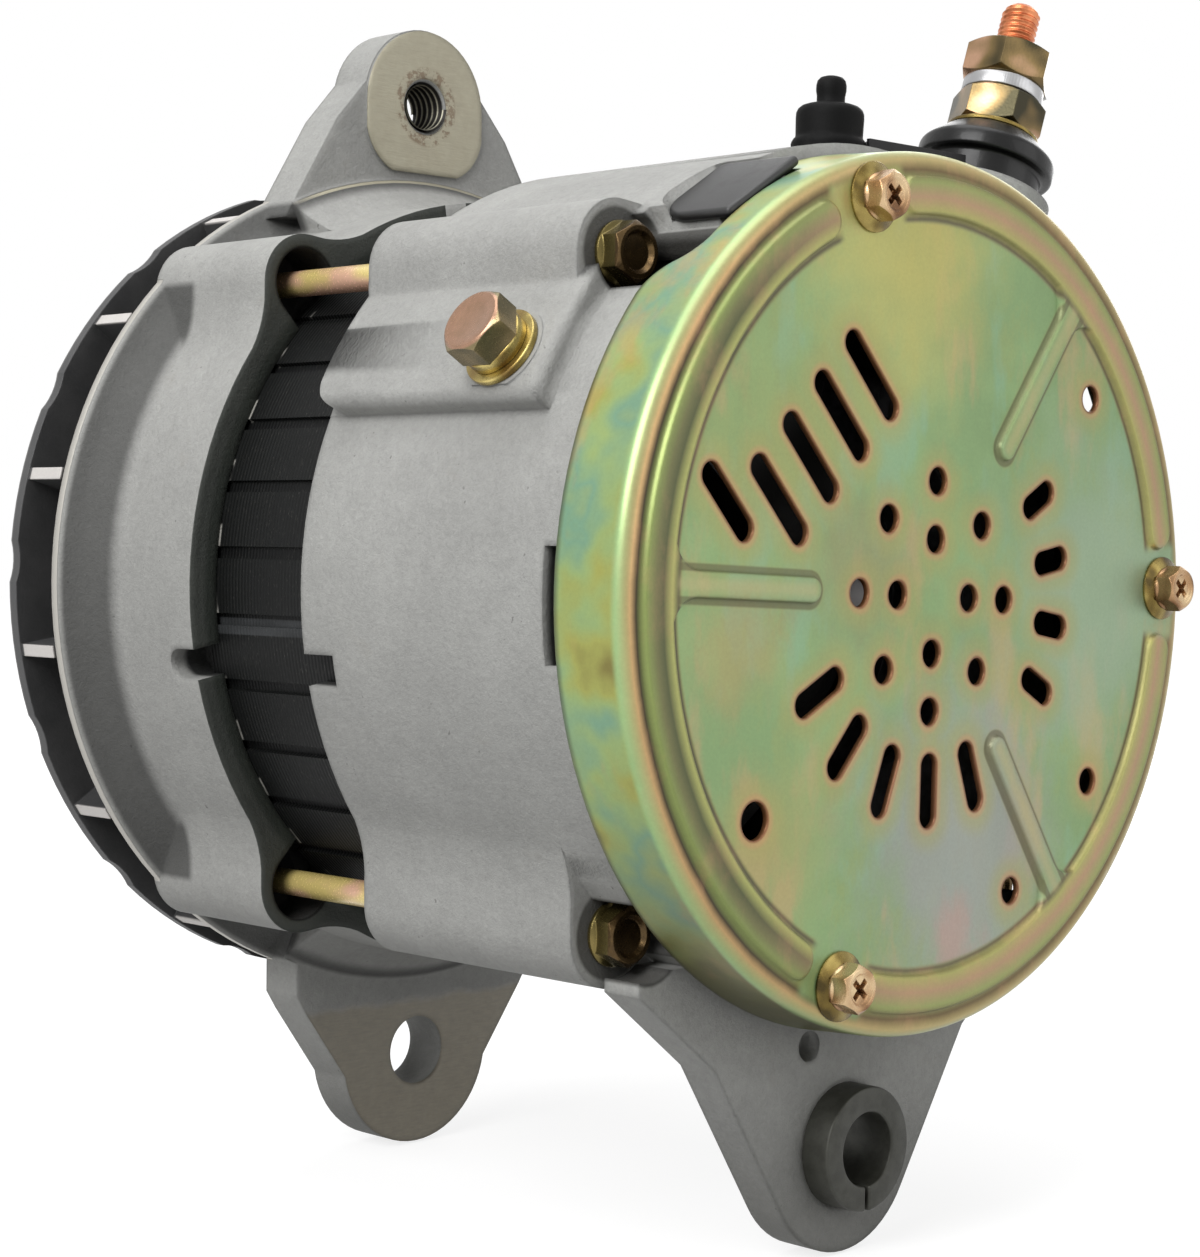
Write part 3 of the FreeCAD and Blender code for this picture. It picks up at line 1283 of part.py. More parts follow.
def make_cover_screws():
    """Three screws with hexagon heads and cross recesses."""
    body = new_body("cover_screws")
    seat = f"{COVER} - washerHeight"
    for angle in COVER_SCREWS:
        direction = f"{angle} + patternTurn"
        place = (f"screwRing * cos({direction})", f"screwRing * sin({direction})")
        shank = cross_sketch(body, seat, *place)
        draw_circle(shank, "0", "0", "screwRadius")
        pad(body, shank, "washerHeight + screwReach", reverse=True)
        head = cross_sketch(body, seat, *place)
        draw_hexagon(head, "screwFlats")
        pad(body, head, "screwHead")
        for tilt in ("45", "135"):
            cross = cross_sketch(body, f"{seat} - screwHead", *place, angle=tilt)
            half = "crossLength / 2"
            draw_box(cross, f"-{half}", "-crossWidth / 2", half, "crossWidth / 2")
            pocket(body, cross, "crossDepth")
    return body


def make_cover_washers():
    """Flat washers under those screws."""
    body = new_body("cover_washers")
    for angle in COVER_SCREWS:
        sketch = cross_sketch(body, COVER, angle=f"{angle} + patternTurn")
        draw_circle(sketch, "screwRing", "0", "washerRadius")
        draw_circle(sketch, "screwRing", "0", "screwRadius + seatClearance")
        pad(body, sketch, "washerHeight")
    return body


# Stator

def make_stator_core():
    """Laminated ring with winding slots inside and fine grooves outside."""
    body = new_body("stator_core")
    ring(body, "coreBore", "coreRadius", CORE_BACK, CORE_FRONT)
    length = f"{CORE_FRONT} - {CORE_BACK} + 2 * cutOver"
    sketch = cross_sketch(body, f"{CORE_BACK} - cutOver")
    draw_box(sketch, "coreBore - cutOver", "-slotBroad / 2", "coreBore + slotDeep", "slotBroad / 2")
    slot = pocket(body, sketch, length)
    repeat(body, [slot], "slotCount")
    sketch = cross_sketch(body, f"{CORE_BACK} - cutOver", angle="coreGrooveStart")
    half = "coreGrooveWidth / 2"
    draw_box(sketch, "coreRadius - coreGrooveDepth", f"-{half}", "coreRadius + cutOver", half)
    groove = pocket(body, sketch, length)
    repeat(body, [groove], "coreGrooves")
    return body


def make_stator_winding():
    """The winding's two heads, one at each end of the core."""
    body = new_body("stator_winding")
    for face, sign in ((CORE_BACK, -1), (CORE_FRONT, 1)):
        end = f"{face} + ({sign}) * headLength"
        bend = f"{face} + ({sign}) * (headLength - headChamfer)"
        corners = [
            ("headInner", face),
            ("headOuter", face),
            ("headOuter", bend),
            ("headOuter - headChamfer", end),
            ("headInner + headChamfer", end),
            ("headInner", bend),
        ]
        lathe(body, corners if sign > 0 else corners[::-1])
    return body


# Bearings

def make_bearing(name, race, width, start):
    """Outer ring, balls and inner ring of one ball bearing, each in its own body."""
    middle = f"({race} + bearingShaft) / 2"
    centre = f"({start}) + ({width}) / 2"
    end = f"({start}) + ({width})"
    ball = f"((({race}) - bearingShaft) / 2 - raceWall + grooveDepth)"
    gap = f"(({race}) - bearingShaft - 2 * raceWall) / 2"
    half = f"sqrt(pow({ball} + ballPlay; 2) - pow({gap}; 2))"
    outer = new_body(name + "_bearing_outer")
    lathe(
        outer,
        [
            (f"{race} - raceWall", start),
            (race, start),
            (race, end),
            (f"{race} - raceWall", end),
            (f"{race} - raceWall", f"{centre} + {half}", f"{ball} + ballPlay", -1),
            (f"{race} - raceWall", f"{centre} - {half}"),
        ],
    )
    inner = new_body(name + "_bearing_inner")
    lathe(
        inner,
        [
            ("bearingShaft + seatClearance / 2", start),
            ("bearingShaft + raceWall", start),
            ("bearingShaft + raceWall", f"{centre} - {half}", f"{ball} + ballPlay", -1),
            ("bearingShaft + raceWall", f"{centre} + {half}"),
            ("bearingShaft + raceWall", end),
            ("bearingShaft + seatClearance / 2", end),
        ],
    )
    balls = new_body(name + "_bearing_balls")
    feature = balls.newObject("PartDesign::AdditiveSphere", name + "_ball")
    feature.AttachmentSupport = [(origin_of(balls, "XZ_Plane"), "")]
    feature.MapMode = "FlatFace"
    bind(feature, "Radius", ball)
    put(feature, "AttachmentOffset", middle, "0", f"-({centre})")
    repeat(balls, [feature], "ballCount")
    return outer, inner, balls


def make_retainer():
    """Plate that holds the front bearing, with its screws."""
    plate = new_body("bearing_retainer")
    start = f"{FRONT_SHOULDER} - retainerThickness"
    inner = "frontRace - raceWall + retainerInset"
    ring(plate, inner, "frontRace + hubWall - retainerEdge", start, FRONT_SHOULDER)
    hole = drill(
        plate,
        f"{start} - cutOver",
        "retainerThickness + 2 * cutOver",
        [("retainerRing", "0", "retainerScrew + seatClearance")],
        angle="retainerTurn",
    )
    repeat(plate, [hole], "retainerCount")
    screws = new_body("retainer_screws")
    shank = cross_sketch(screws, start, angle="retainerTurn")
    draw_circle(shank, "retainerRing", "0", "retainerScrew")
    first = pad(screws, shank, "retainerReach", reverse=True)
    head = cross_sketch(screws, start, angle="retainerTurn")
    draw_circle(head, "retainerRing", "0", "retainerHead")
    second = pad(screws, head, "retainerHeadHeight")
    repeat(screws, [first, second], "retainerCount")
    return plate, screws


# Rotor

def make_shaft():
    """Stepped shaft with the pulley's seat and its threaded end."""
    body = new_body("shaft")
    tail = f"{REAR_BEARING} - tailLength"
    thread = "pulleySeat + threadLength"
    lathe(
        body,
        [
            ("0", tail),
            ("tailShaft", tail),
            ("tailShaft", REAR_BEARING),
            ("bearingShaft", REAR_BEARING),
            ("bearingShaft", REAR_SHOULDER),
            ("coreShaft", REAR_SHOULDER),
            ("coreShaft", FRONT_SHOULDER),
            ("bearingShaft", FRONT_SHOULDER),
            ("bearingShaft", "-pulleyStep"),
            ("pulleyShaft", "-pulleyStep"),
            ("pulleyShaft", "pulleySeat"),
            ("threadRadius", "pulleySeat"),
            ("threadRadius", f"{thread} - threadChamfer"),
            ("threadRadius - threadChamfer", thread),
            ("0", thread),
        ],
    )
    return body


def make_collar():
    """Spacer between the front bearing and the fan."""
    body = new_body("fan_collar")
    ring(body, "bearingShaft + seatClearance / 2", "collarRadius", FRONT_BEARING, "-fanSheet")
    return body


def make_claw(name, plate_face, sign, angle):
    """One claw piece: hub, end plate and tapering claws that reach over the coil."""
    body = new_body(name)
    inner_face = f"{plate_face} - ({sign}) * clawPlate"
    tip = f"{plate_face} - ({sign}) * (2 * rotorHalf - clawPlate + clawShort)"
    bore = "coreShaft + seatClearance / 2"
    low, high = (inner_face, plate_face) if sign > 0 else (plate_face, inner_face)
    ring(body, bore, "clawCore", low, high)
    low, high = (MIDDLE, inner_face) if sign > 0 else (inner_face, MIDDLE)
    ring(body, bore, "clawHub", low, high)
    root = cross_sketch(body, plate_face, angle=angle)
    draw_sector(root, "clawCore - 4", "rotorRadius", "-clawRoot", "clawRoot")
    arm = pad(body, root, "clawPlate", reverse=(sign < 0))
    sections = []
    for station, inner, half in ((inner_face, "clawRootInner", "clawRoot"), (tip, "clawTipInner", "clawTip")):
        sketch = cross_sketch(body, station, angle=angle)
        draw_sector(sketch, inner, "rotorRadius", f"-{half}", half)
        sections.append(sketch)
    finger = body.newObject("PartDesign::AdditiveLoft", name + "_claw")
    finger.Profile = sections[0]
    finger.Sections = [sections[1]]
    finger.Ruled = True
    repeat(body, [arm, finger], "clawCount")
    return body


def make_field_coil():
    """Field winding round the claw pieces' hubs."""
    body = new_body("field_coil")
    reach = "rotorHalf - clawPlate - coilGap"
    ring(body, "clawHub + coilGap", "coilOuter", f"{MIDDLE} - ({reach})", f"{MIDDLE} + ({reach})")
    return body


def ring_stations():
    """Where the two slip rings begin."""
    near = f"{REAR_BEARING} - ringStart - ringEdge - ringWidth"
    return near, f"{near} - ringGap - ringWidth"


def make_slip_rings():
    """Slip rings and the insulating sleeve under them."""
    rings = new_body("slip_rings")
    near, far = ring_stations()
    inner = "ringRadius - ringWall"
    for start in (near, far):
        ring(rings, inner, "ringRadius", start, f"{start} + ringWidth")
    sleeve = new_body("slip_ring_sleeve")
    low = f"{far} - ringEdge"
    high = f"{near} + ringWidth + ringEdge"
    ring(sleeve, "tailShaft + seatClearance / 2", f"{inner} - seatClearance / 2", low, high)
    return rings, sleeve


def make_fan():
    """Fan: a disc with radial blades and shallow hollows in its edge between them."""
    body = new_body("cooling_fan")
    ring(body, "bearingShaft + seatClearance / 2", "fanRadius", "-fanSheet", "0")
    hollow = cross_sketch(body, "-fanSheet - cutOver", angle="bladeStart + 180 / bladeCount")
    draw_circle(hollow, "fanRadius + scallopRadius - scallopDepth", "0", "scallopRadius")
    cut = pocket(body, hollow, "fanSheet + 2 * cutOver")
    repeat(body, [cut], "bladeCount")
    sketch = side_sketch(body, "bladeStart")
    draw_outline(
        sketch,
        [
            ("bladeInner", "-fanSheet"),
            ("bladeInner", "-fanSheet - bladeLow"),
            ("bladeRamp", "-fanDepth"),
            ("fanRadius - scallopDepth / 2", "-fanDepth"),
            ("fanRadius - scallopDepth / 2", "-fanSheet"),
        ],
    )
    blade = pad(body, sketch, "fanSheet", middle=True)
    repeat(body, [blade], "bladeCount")
    return body


# Electrics in the chamber

def turned_box(body, angle, inner, outer, half, low, high):
    """A block standing out from the shaft at an angle, between two stations."""
    sketch = cross_sketch(body, low, angle=angle)
    draw_box(sketch, inner, f"-({half})", outer, half)
    return pad(body, sketch, f"({high}) - ({low})", reverse=True)


def make_brush_gear():
    """Brush holder with its two brushes."""
    holder = new_body("brush_holder")
    start = f"{BACK_RIM} + holderBack"
    near, far = ring_stations()
    nose_end = f"{near} + ringWidth + ringEdge"
    across = "holderWidth / 2"
    turned_box(holder, "holderAngle", "holderNose", "holderStep + cutOver", across, start, nose_end)
    turned_box(holder, "holderAngle", "holderStep", "holderEnd", across, start, WALL_BACK)
    brushes = new_body("brushes")
    for station in (near, far):
        middle = f"{station} + ringWidth / 2"
        room = facing_sketch(holder, "holderAngle", "holderNose - cutOver", middle)
        wide = "brushWidth / 2 + brushPlay"
        tall = "brushThickness / 2 + brushPlay"
        draw_box(room, f"-({wide})", f"-({tall})", wide, tall)
        pocket(holder, room, "brushLength + 2 * cutOver", reverse=True)
        face = facing_sketch(brushes, "holderAngle", "ringRadius + runningGap", middle)
        draw_box(face, "-brushWidth / 2", "-brushThickness / 2", "brushWidth / 2", "brushThickness / 2")
        pad(brushes, face, "brushLength")
    return holder, brushes


def make_regulator():
    """Voltage regulator with cooling fins towards the cover."""
    body = new_body("regulator")
    start = f"{WALL_BACK} - regulatorHeight"
    across = "regulatorWidth / 2"
    turned_box(body, "regulatorAngle", "regulatorInner", "regulatorOuter", across, start, WALL_BACK)
    pitch = "(regulatorWidth - finWidth) / (finCount - 1)"
    for number in range(int(value_of("finCount"))):
        sketch = cross_sketch(body, f"{start} - finHeight", angle="regulatorAngle")
        low = f"-regulatorWidth / 2 + {number} * {pitch}"
        draw_box(sketch, "regulatorInner", low, "regulatorOuter", f"{low} + finWidth")
        pad(body, sketch, "finHeight", reverse=True)
    return body


def make_plate(name, height):
    """One rectifier plate with holes for its pillars."""
    body = new_body(name)
    start = f"{WALL_BACK} - ({height}) - sinkThickness"
    sketch = cross_sketch(body, start)
    draw_sector(sketch, "sinkInner", "sinkOuter", "sinkStart", "sinkEnd")
    pad(body, sketch, "sinkThickness", reverse=True)
    for angle in PILLARS:
        drill(
            body,
            f"{start} - cutOver",
            "sinkThickness + 2 * cutOver",
            [("pillarRing", "0", "pillarRadius + seatClearance")],
            angle=angle,
        )
    return body


def make_rectifier():
    """Two plates, their diodes and the pillars that carry them."""
    plus = make_plate("rectifier_plate_positive", "plusHeight")
    sketch = facing_sketch(plus, "outputAngle", "studStart", TERMINALS, "outputX", "outputZ")
    half = "postBlock / 2"
    low = f"{WALL_BACK} - plusHeight - sinkThickness - {TERMINALS}"
    draw_box(sketch, f"-{half}", low, half, "studRadius + postRim")
    pad(plus, sketch, "postBlockDepth", reverse=True)
    minus = make_plate("rectifier_plate_negative", "minusHeight")
    diodes = new_body("rectifier_diodes")
    features = []
    for start in (f"{WALL_BACK} - plusHeight", f"{WALL_BACK} - minusHeight - sinkThickness - diodeHeight"):
        sketch = cross_sketch(diodes, start, angle="diodeStart")
        draw_circle(sketch, "diodeRing", "0", "diodeRadius")
        features.append(pad(diodes, sketch, "diodeHeight", reverse=True))
    repeat(diodes, features, "diodeCount", "diodePitch")
    pillars = new_body("rectifier_pillars")
    length = "plusHeight + sinkThickness + pillarTop"
    for angle in PILLARS:
        sketch = cross_sketch(pillars, f"{WALL_BACK} - ({length})", angle=angle)
        draw_circle(sketch, "pillarRing", "0", "pillarRadius")
        pad(pillars, sketch, length, reverse=True)
    return plus, minus, diodes, pillars


# Terminals on top

def upright_circle(body, start, radius, height, hole=None):
    """A round slice along the body's own Z axis."""
    sketch = new_sketch(body, "XY_Plane")
    put(sketch, "AttachmentOffset", "0", "0", start)
    draw_circle(sketch, "0", "0", radius)
    if hole:
        draw_circle(sketch, "0", "0", hole)
    return pad(body, sketch, height)


def upright_hexagon(body, start, flats, height, hole=None):
    """A hexagon slice along the body's own Z axis."""
    sketch = new_sketch(body, "XY_Plane")
    put(sketch, "AttachmentOffset", "0", "0", start)
    draw_hexagon(sketch, flats)
    if hole:
        draw_circle(sketch, "0", "0", hole)
    return pad(body, sketch, height)


def upright_lathe(body, corners):
    """A turned piece about the body's own Z axis."""
    sketch = new_sketch(body, "XZ_Plane")
    draw_outline(sketch, corners)
    feature = body.newObject("PartDesign::Revolution", body.Label + "_turn")
    feature.Profile = sketch
    feature.ReferenceAxis = (sketch, ["V_Axis"])
    feature.Angle = 360
    return feature


def cut_split(body, start, inner, outer, height):
    """The cut in a spring washer that stands along the body's Z axis."""
    sketch = new_sketch(body, "XY_Plane")
    put(sketch, "AttachmentOffset", "0", "0", f"{start} - cutOver")
    draw_box(sketch, f"({inner}) - cutOver", "-splitGap / 2", f"({outer}) + cutOver", "splitGap / 2")
    pocket(body, sketch, f"({height}) + 2 * cutOver", reverse=True)


def stand_at_output(body):
    """Put a piece on the output stud's line."""
    stand(body, "outputAngle", "outputX", "outputZ")


def make_output_terminal():
    """Stud, insulator, washers and nuts of the output terminal."""
    band = f"{BOSS_END} + insulatorStep"
    top = f"{band} + insulatorBand + insulatorCone"
    hole = "studRadius + seatClearance"
    stud = new_body("output_stud")
    upright_lathe(
        stud,
        [
            ("0", "studStart"),
            ("studRadius", "studStart"),
            ("studRadius", f"{STUD_END} - studChamfer"),
            ("studRadius - studChamfer", STUD_END),
            ("0", STUD_END),
        ],
    )
    insulator = new_body("output_insulator")
    upright_lathe(
        insulator,
        [
            (hole, f"{BOSS_END} - spigotLength"),
            ("spigotRadius", f"{BOSS_END} - spigotLength"),
            ("spigotRadius", BOSS_END),
            ("insulatorFoot", BOSS_END),
            ("insulatorFoot", band),
            ("insulatorRim", band),
            ("insulatorRim", f"{band} + insulatorBand"),
            ("insulatorNeck", top),
            (hole, top),
        ],
    )
    flat = new_body("output_flat_washer")
    upright_circle(flat, top, "insulatorNeck", "outputWasher", hole)
    nuts = new_body("output_nuts")
    lower = f"{top} + outputWasher"
    upper = f"{lower} + outputNutHeight + springThickness"
    for start in (lower, upper):
        upright_hexagon(nuts, start, "outputNutFlats", "outputNutHeight", hole)
    spring = new_body("output_spring_washer")
    start = f"{lower} + outputNutHeight"
    upright_circle(spring, start, "springRadius", "springThickness", hole)
    cut_split(spring, start, hole, "springRadius", "springThickness")
    for body in (stud, insulator, flat, nuts, spring):
        stand_at_output(body)
    return stud, insulator, flat, nuts, spring


def make_signal_terminal():
    """Pin of the signal terminal, the rubber cap over it, and the terminal base beside it."""
    shoulder = "padRadius + signalCollarHeight"
    tip = f"{shoulder} + signalCapHeight"
    pin_top = f"{tip} + signalPinHeight"
    top = f"{tip} + nippleHeight"
    pin = new_body("signal_terminal")
    upright_circle(pin, "padRadius - castWall * 3", "signalPin", f"{pin_top} - padRadius + castWall * 3")
    cap = new_body("signal_cap")
    hole = "signalPin + seatClearance"
    upright_lathe(
        cap,
        [
            (hole, "padRadius"),
            ("signalCollar", "padRadius"),
            ("signalCollar", shoulder),
            ("signalCap", shoulder),
            ("signalCap", f"{tip} - signalCapRound", "signalCapRound", 1),
            ("signalCap - signalCapRound", tip),
            ("nippleRadius", tip),
            ("nippleRadius", f"{top} - nippleRadius", "nippleRadius", 1),
            ("0", top),
            ("0", f"{pin_top} + seatClearance"),
            (hole, f"{pin_top} + seatClearance"),
        ],
    )
    for body in (pin, cap):
        stand(body, "signalAngle")
    base = new_body("terminal_base")
    sketch = cross_sketch(base, f"{TERMINALS} - baseWidth / 2")
    draw_box(sketch, "baseLeft", "padRadius - baseRoot", "baseRight", "padRadius + baseRise")
    pad(base, sketch, "baseWidth", reverse=True)
    inner = cross_sketch(base, f"{TERMINALS} - baseWidth / 2 - cutOver")
    draw_circle(inner, "0", "0", "padRadius + padPlay")
    pocket(base, inner, "baseWidth + 2 * cutOver")
    round_signal = facing_sketch(base, "signalAngle", "padRadius - cutOver", TERMINALS)
    draw_circle(round_signal, "0", "0", "signalCollar + padPlay")
    pocket(base, round_signal, "lobeRadius", reverse=True)
    deep = "padRadius - outputBoss"
    round_output = facing_sketch(base, "outputAngle", deep, TERMINALS, "outputX", "outputZ")
    draw_circle(round_output, "0", "0", "outputBoss + padPlay")
    pocket(base, round_output, "insulatorRim * 2", reverse=True)
    return pin, cap, base


def make_ground_bolt():
    """Ground bolt with its spring washer and flat washer."""
    flat = new_body("ground_flat_washer")
    hole = "groundShank + seatClearance"
    upright_circle(flat, GROUND_SEAT, "groundWasher", "groundWasherHeight", hole)
    spring = new_body("ground_spring_washer")
    start = f"{GROUND_SEAT} + groundWasherHeight"
    upright_circle(spring, start, "groundSpring", "groundSpringHeight", hole)
    cut_split(spring, start, hole, "groundSpring", "groundSpringHeight")
    bolt = new_body("ground_bolt")
    under = f"{start} + groundSpringHeight"
    length = f"{under} - {GROUND_SEAT} + groundReach"
    upright_circle(bolt, f"{GROUND_SEAT} - groundReach", "groundShank", length)
    upright_hexagon(bolt, under, "groundFlats", "groundHead")
    for body in (flat, spring, bolt):
        stand(body, "groundAngle", station=f"{BACK_RIM} + groundStation")
    return flat, spring, bolt


def make_flap():
    """Rubber flap lying in the pad's recess."""
    body = new_body("rubber_flap")
    sketch = facing_sketch(body, "flapAngle", FLAP_FLOOR, BACK_RIM)
    draw_outline(sketch, flap_corners("flapStart", "0"))
    pad(body, sketch, "flapThickness")
    return body


def check_document():
    """Stop if any object of the document failed."""
    for thing in doc.Objects:
        if "Invalid" in thing.State or "Error" in thing.State:
            raise RuntimeError(f"{thing.Name} failed: {thing.State}")


def write_parts():
    """Check each sub-part's solids and write them, one file each."""
    os.makedirs("parts", exist_ok=True)
    for body in doc.findObjects("PartDesign::Body"):
        shape = body.Shape
        if shape.isNull() or not shape.isValid() or not shape.Solids:
            raise RuntimeError(f"{body.Label} has no valid solid")
        shape.exportStep(f"parts/{body.Label}.step")


fill_sheet()
make_front_housing()
make_rear_housing()
make_rear_cover()
make_cover_screws()
make_cover_washers()
make_through_bolts()
make_pivot_bush()
make_stator_core()
make_stator_winding()
make_bearing("front", "frontRace", "frontWidth", FRONT_SHOULDER)
make_bearing("rear", "rearRace", "rearWidth", REAR_BEARING)
make_retainer()
make_shaft()
make_collar()
make_claw("front_claw", ROTOR_FRONT, 1, "0")
make_claw("rear_claw", ROTOR_BACK, -1, "180 / clawCount")
make_field_coil()
make_slip_rings()
make_fan()
make_brush_gear()
make_regulator()
make_rectifier()
make_output_terminal()
make_signal_terminal()
make_ground_bolt()
make_flap()
doc.recompute()
check_document()
write_parts()
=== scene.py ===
"""Studio scene of a vehicle alternator: finishes for its castings, plated sheet, bolts and terminals,
the small threaded and turned pieces, and the camera, floor and lamps.

The shaft lies along Y with the drive end at +Y, and Z is up. The sizes below are millimetres and are
made metres by MM.
"""

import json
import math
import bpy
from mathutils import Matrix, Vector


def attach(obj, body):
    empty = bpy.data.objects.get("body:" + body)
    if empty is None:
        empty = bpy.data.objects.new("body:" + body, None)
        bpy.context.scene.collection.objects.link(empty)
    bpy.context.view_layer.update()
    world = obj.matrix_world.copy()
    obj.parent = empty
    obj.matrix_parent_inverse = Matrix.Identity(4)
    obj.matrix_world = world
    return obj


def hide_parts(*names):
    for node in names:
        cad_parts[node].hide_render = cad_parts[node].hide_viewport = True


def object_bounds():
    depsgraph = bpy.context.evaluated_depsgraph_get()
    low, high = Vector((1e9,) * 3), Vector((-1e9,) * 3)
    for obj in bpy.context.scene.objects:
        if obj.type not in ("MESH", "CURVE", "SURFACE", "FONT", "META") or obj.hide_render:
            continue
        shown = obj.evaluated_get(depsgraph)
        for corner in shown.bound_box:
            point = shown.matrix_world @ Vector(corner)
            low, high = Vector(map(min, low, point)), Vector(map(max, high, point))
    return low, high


bl_info = {
    "name": "Alternator Studio",
    "version": (1, 0, 0),
    "blender": (4, 5, 0),
    "location": "3D View > Sidebar > Alternator",
    "description": "Finishes, small pieces and a studio for a vehicle alternator",
    "category": "Object",
}

import bpy
from bpy.props import FloatProperty, FloatVectorProperty, PointerProperty
from bpy.types import Operator, Panel, PropertyGroup
from mathutils import Matrix, Vector

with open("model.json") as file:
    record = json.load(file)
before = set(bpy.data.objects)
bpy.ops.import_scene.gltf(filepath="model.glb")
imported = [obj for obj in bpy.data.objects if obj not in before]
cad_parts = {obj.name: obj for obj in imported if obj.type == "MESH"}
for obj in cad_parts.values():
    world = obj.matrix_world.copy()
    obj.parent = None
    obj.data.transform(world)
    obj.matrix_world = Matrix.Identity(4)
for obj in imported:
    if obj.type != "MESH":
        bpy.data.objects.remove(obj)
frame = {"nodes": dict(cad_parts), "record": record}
CAD_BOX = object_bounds()

MM = 0.001

# Stations along the shaft
COVER_FACE = -173.5
BOLT_SEAT = -143.5
TERMINAL_STATION = -142.5
GROUND_STATION = -135.0
CORE_FRONT = -50.5
CORE_RIBS = 36.0
REAR_RIM = -86.2
FRONT_RIM = -54.0
LIP_BACK = -18.5
FRONT_FACE = -16.5
EAR_FACE = -28.3
LUG_BACK = -27.5
FAN_BACK = -2.5

# Through bolts
BOLT_RING = 81.5
BOLT_ANGLES = (131.5, 228.5, 311.5, 33.0)
BOLT_END = -26.5

# The cover's pattern
PATTERN_TURN = -2.2
SMALL_HOLE = 2.6
LARGE_HOLE = 3.45
HOLE_RINGS = ((10.64, 0.0), (21.45, 0.0), (19.55, 45.0))
EDGE_RING = 62.2
EDGE_HOLES = ((40.6, SMALL_HOLE), (-34.6, SMALL_HOLE), (-64.2, SMALL_HOLE), (-139.5, LARGE_HOLE))
SCREW_RING = 74.5
SCREW_ANGLES = (107.0, 3.0, -108.0)
HOLES_IN_RING = 4
SLOT_WIDTH = 4.7
SIDE_SLOTS = (37.0, 10.5, -26.5, 19.5, 4)
LOWER_SLOTS = (36.2, 14.0, -150.2, 20.4, 5)
SLANT = -45.0
SLANT_FIRST = (-20.2, 39.3)
SLANT_PITCH = 11.2
SLANT_COUNT = 4
SLANT_LENGTH = 20.0
LONE_SLOT = (-57.2, 14.5)
LONE_LENGTH = 17.0
BEAD_RING = 73.9
BEAD_ARCS = ((118.0, 242.0), (12.0, 98.0), (-100.0, -7.0))
SPOKES = (179.8, 55.3, -54.0)
SPOKE_INNER = 32.5
SPOKE_WIDTH = 5.2

# The output stud's line: its pieces by distance along it
OUTPUT_ANGLE = 70.0
OUTPUT_POINT = (19.4, -7.0)
STUD_START = 64.0
WASHER_TOP = 108.1
NUT_HEIGHT = 7.9
NUT_CHAMFER = 1.1
NUT_BORE = 4.06
SPRING_HEIGHT = 2.9
STUD_RADIUS = 4.0
STUD_CORE = 3.52
STUD_TIP = (0.7, 2.9)
STUD_BARE = 1.2
STUD_END = 137.0

# Pad, and clear seat round the lower bolts
PAD_END = 156.0
PAD_ROUNDED = 141.0
PAD_BACK = -146.5
PAD_DEPTH = 4.9
SEAT_DROP = 6.0
SEAT_REACH = 96.0
FIN_DROP = 14.0
REAR_BARREL = 80.0

# Ground bolt and signal terminal, by distance from the shaft
GROUND_ANGLE = 149.5
GROUND_HEAD = 89.2
SIGNAL_ANGLE = 87.0
PAD_TOP = 85.0

# Adjusting hole in the ear, with an M12 thread
EAR_HEIGHT = 105.7
EAR_THREAD = 5.42
EAR_PITCH = 1.75
EAR_TURNS = 6
EAR_LEAD = 0.3

# Hexagon heads: height, chamfer and lower end. Dishes in them: radius and depth
SCREW_HEAD = (4.0, 0.9, 1.5)
SCREW_DISH = (3.1, 0.45)
BOLT_HEAD = (4.5, 0.9, 1.0)
BOLT_DISH = (3.9, 0.9)
GROUND_HEX = (5.5, 1.0, GROUND_HEAD)
GROUND_DISH = (4.6, 0.25)

# Cross recess: width, depth and upper end, and how much it narrows to its bottom
CROSS = (1.5, 2.0, 5.3)
CROSS_TAPER = 0.6

# Shanks: radius, height, sides and lower end
SCREW_SHANK = (2.4, 15.2, 32, -13.5)
GROUND_SHANK = (3.6, 16.0, 32, GROUND_HEAD - 15.9)

# Turned pieces: first radius and height, steps of (height, radius), and lower end
SCREW_FOOT = (4.3, 0.5, ((0.35, 4.0),), 1.25)
COVER_WASHER = (6.4, 0.45, ((0.1, 6.25), (0.85, 4.1), (0.1, 3.9)))
BOLT_FLANGE = (5.7, 0.25, ((0.2, 6.0), (0.55, 6.0), (0.4, 5.5), (0.2, 4.9)))
ROD_RADIUS = 2.65
ROD_TIP = (0.5, 2.3)
ROD_START = 0.3
CAP_FOOT = (7.3, 1.2)
CAP_STEPS = (
    (0.6, 7.4), (0.5, 7.25), (0.5, 6.95), (0.35, 6.6), (0.5, 6.55), (3.4, 6.65), (0.9, 6.6),
    (0.7, 6.3), (0.55, 5.7), (0.3, 4.9), (0.1, 3.7), (0.15, 3.1), (0.6, 2.75), (1.0, 2.75),
    (1.1, 2.95), (1.0, 2.95), (0.9, 2.75), (0.6, 2.2), (0.3, 1.3),
)

# Camera's axes, and the studio's lamps: name, place and size in metres
CAMERA_RIGHT = (0.71231, -0.70179, 0.01046)
CAMERA_UP = (0.01738, 0.03254, 0.99932)
CAMERA_BACK = (-0.70165, -0.71164, 0.03538)
FRAME_WIDTH = 36.0
LAMPS = (
    ("key", (-1.1, -0.35, 0.75), 0.8),
    ("fill", (0.45, -1.25, 0.35), 0.9),
    ("side", (1.15, 0.45, 0.6), 0.9),
    ("top", (-0.1, -0.1, 1.3), 1.1),
)
LAMPS_MEET = (0.0, -0.08, 0.0)

# Floor and sky: brightness, and where the floor's shadow ends
FLOOR_SIZE = 8.0
FLOOR_SHADE = 0.3
FLOOR_GLOW = 0.8
FAR_GLOW = 0.18
GLOW_STARTS = 260.0
GLOW_ENDS = 900.0
SKY_LIGHT = 0.26
WHITE = (1.0, 1.0, 1.0, 1.0)


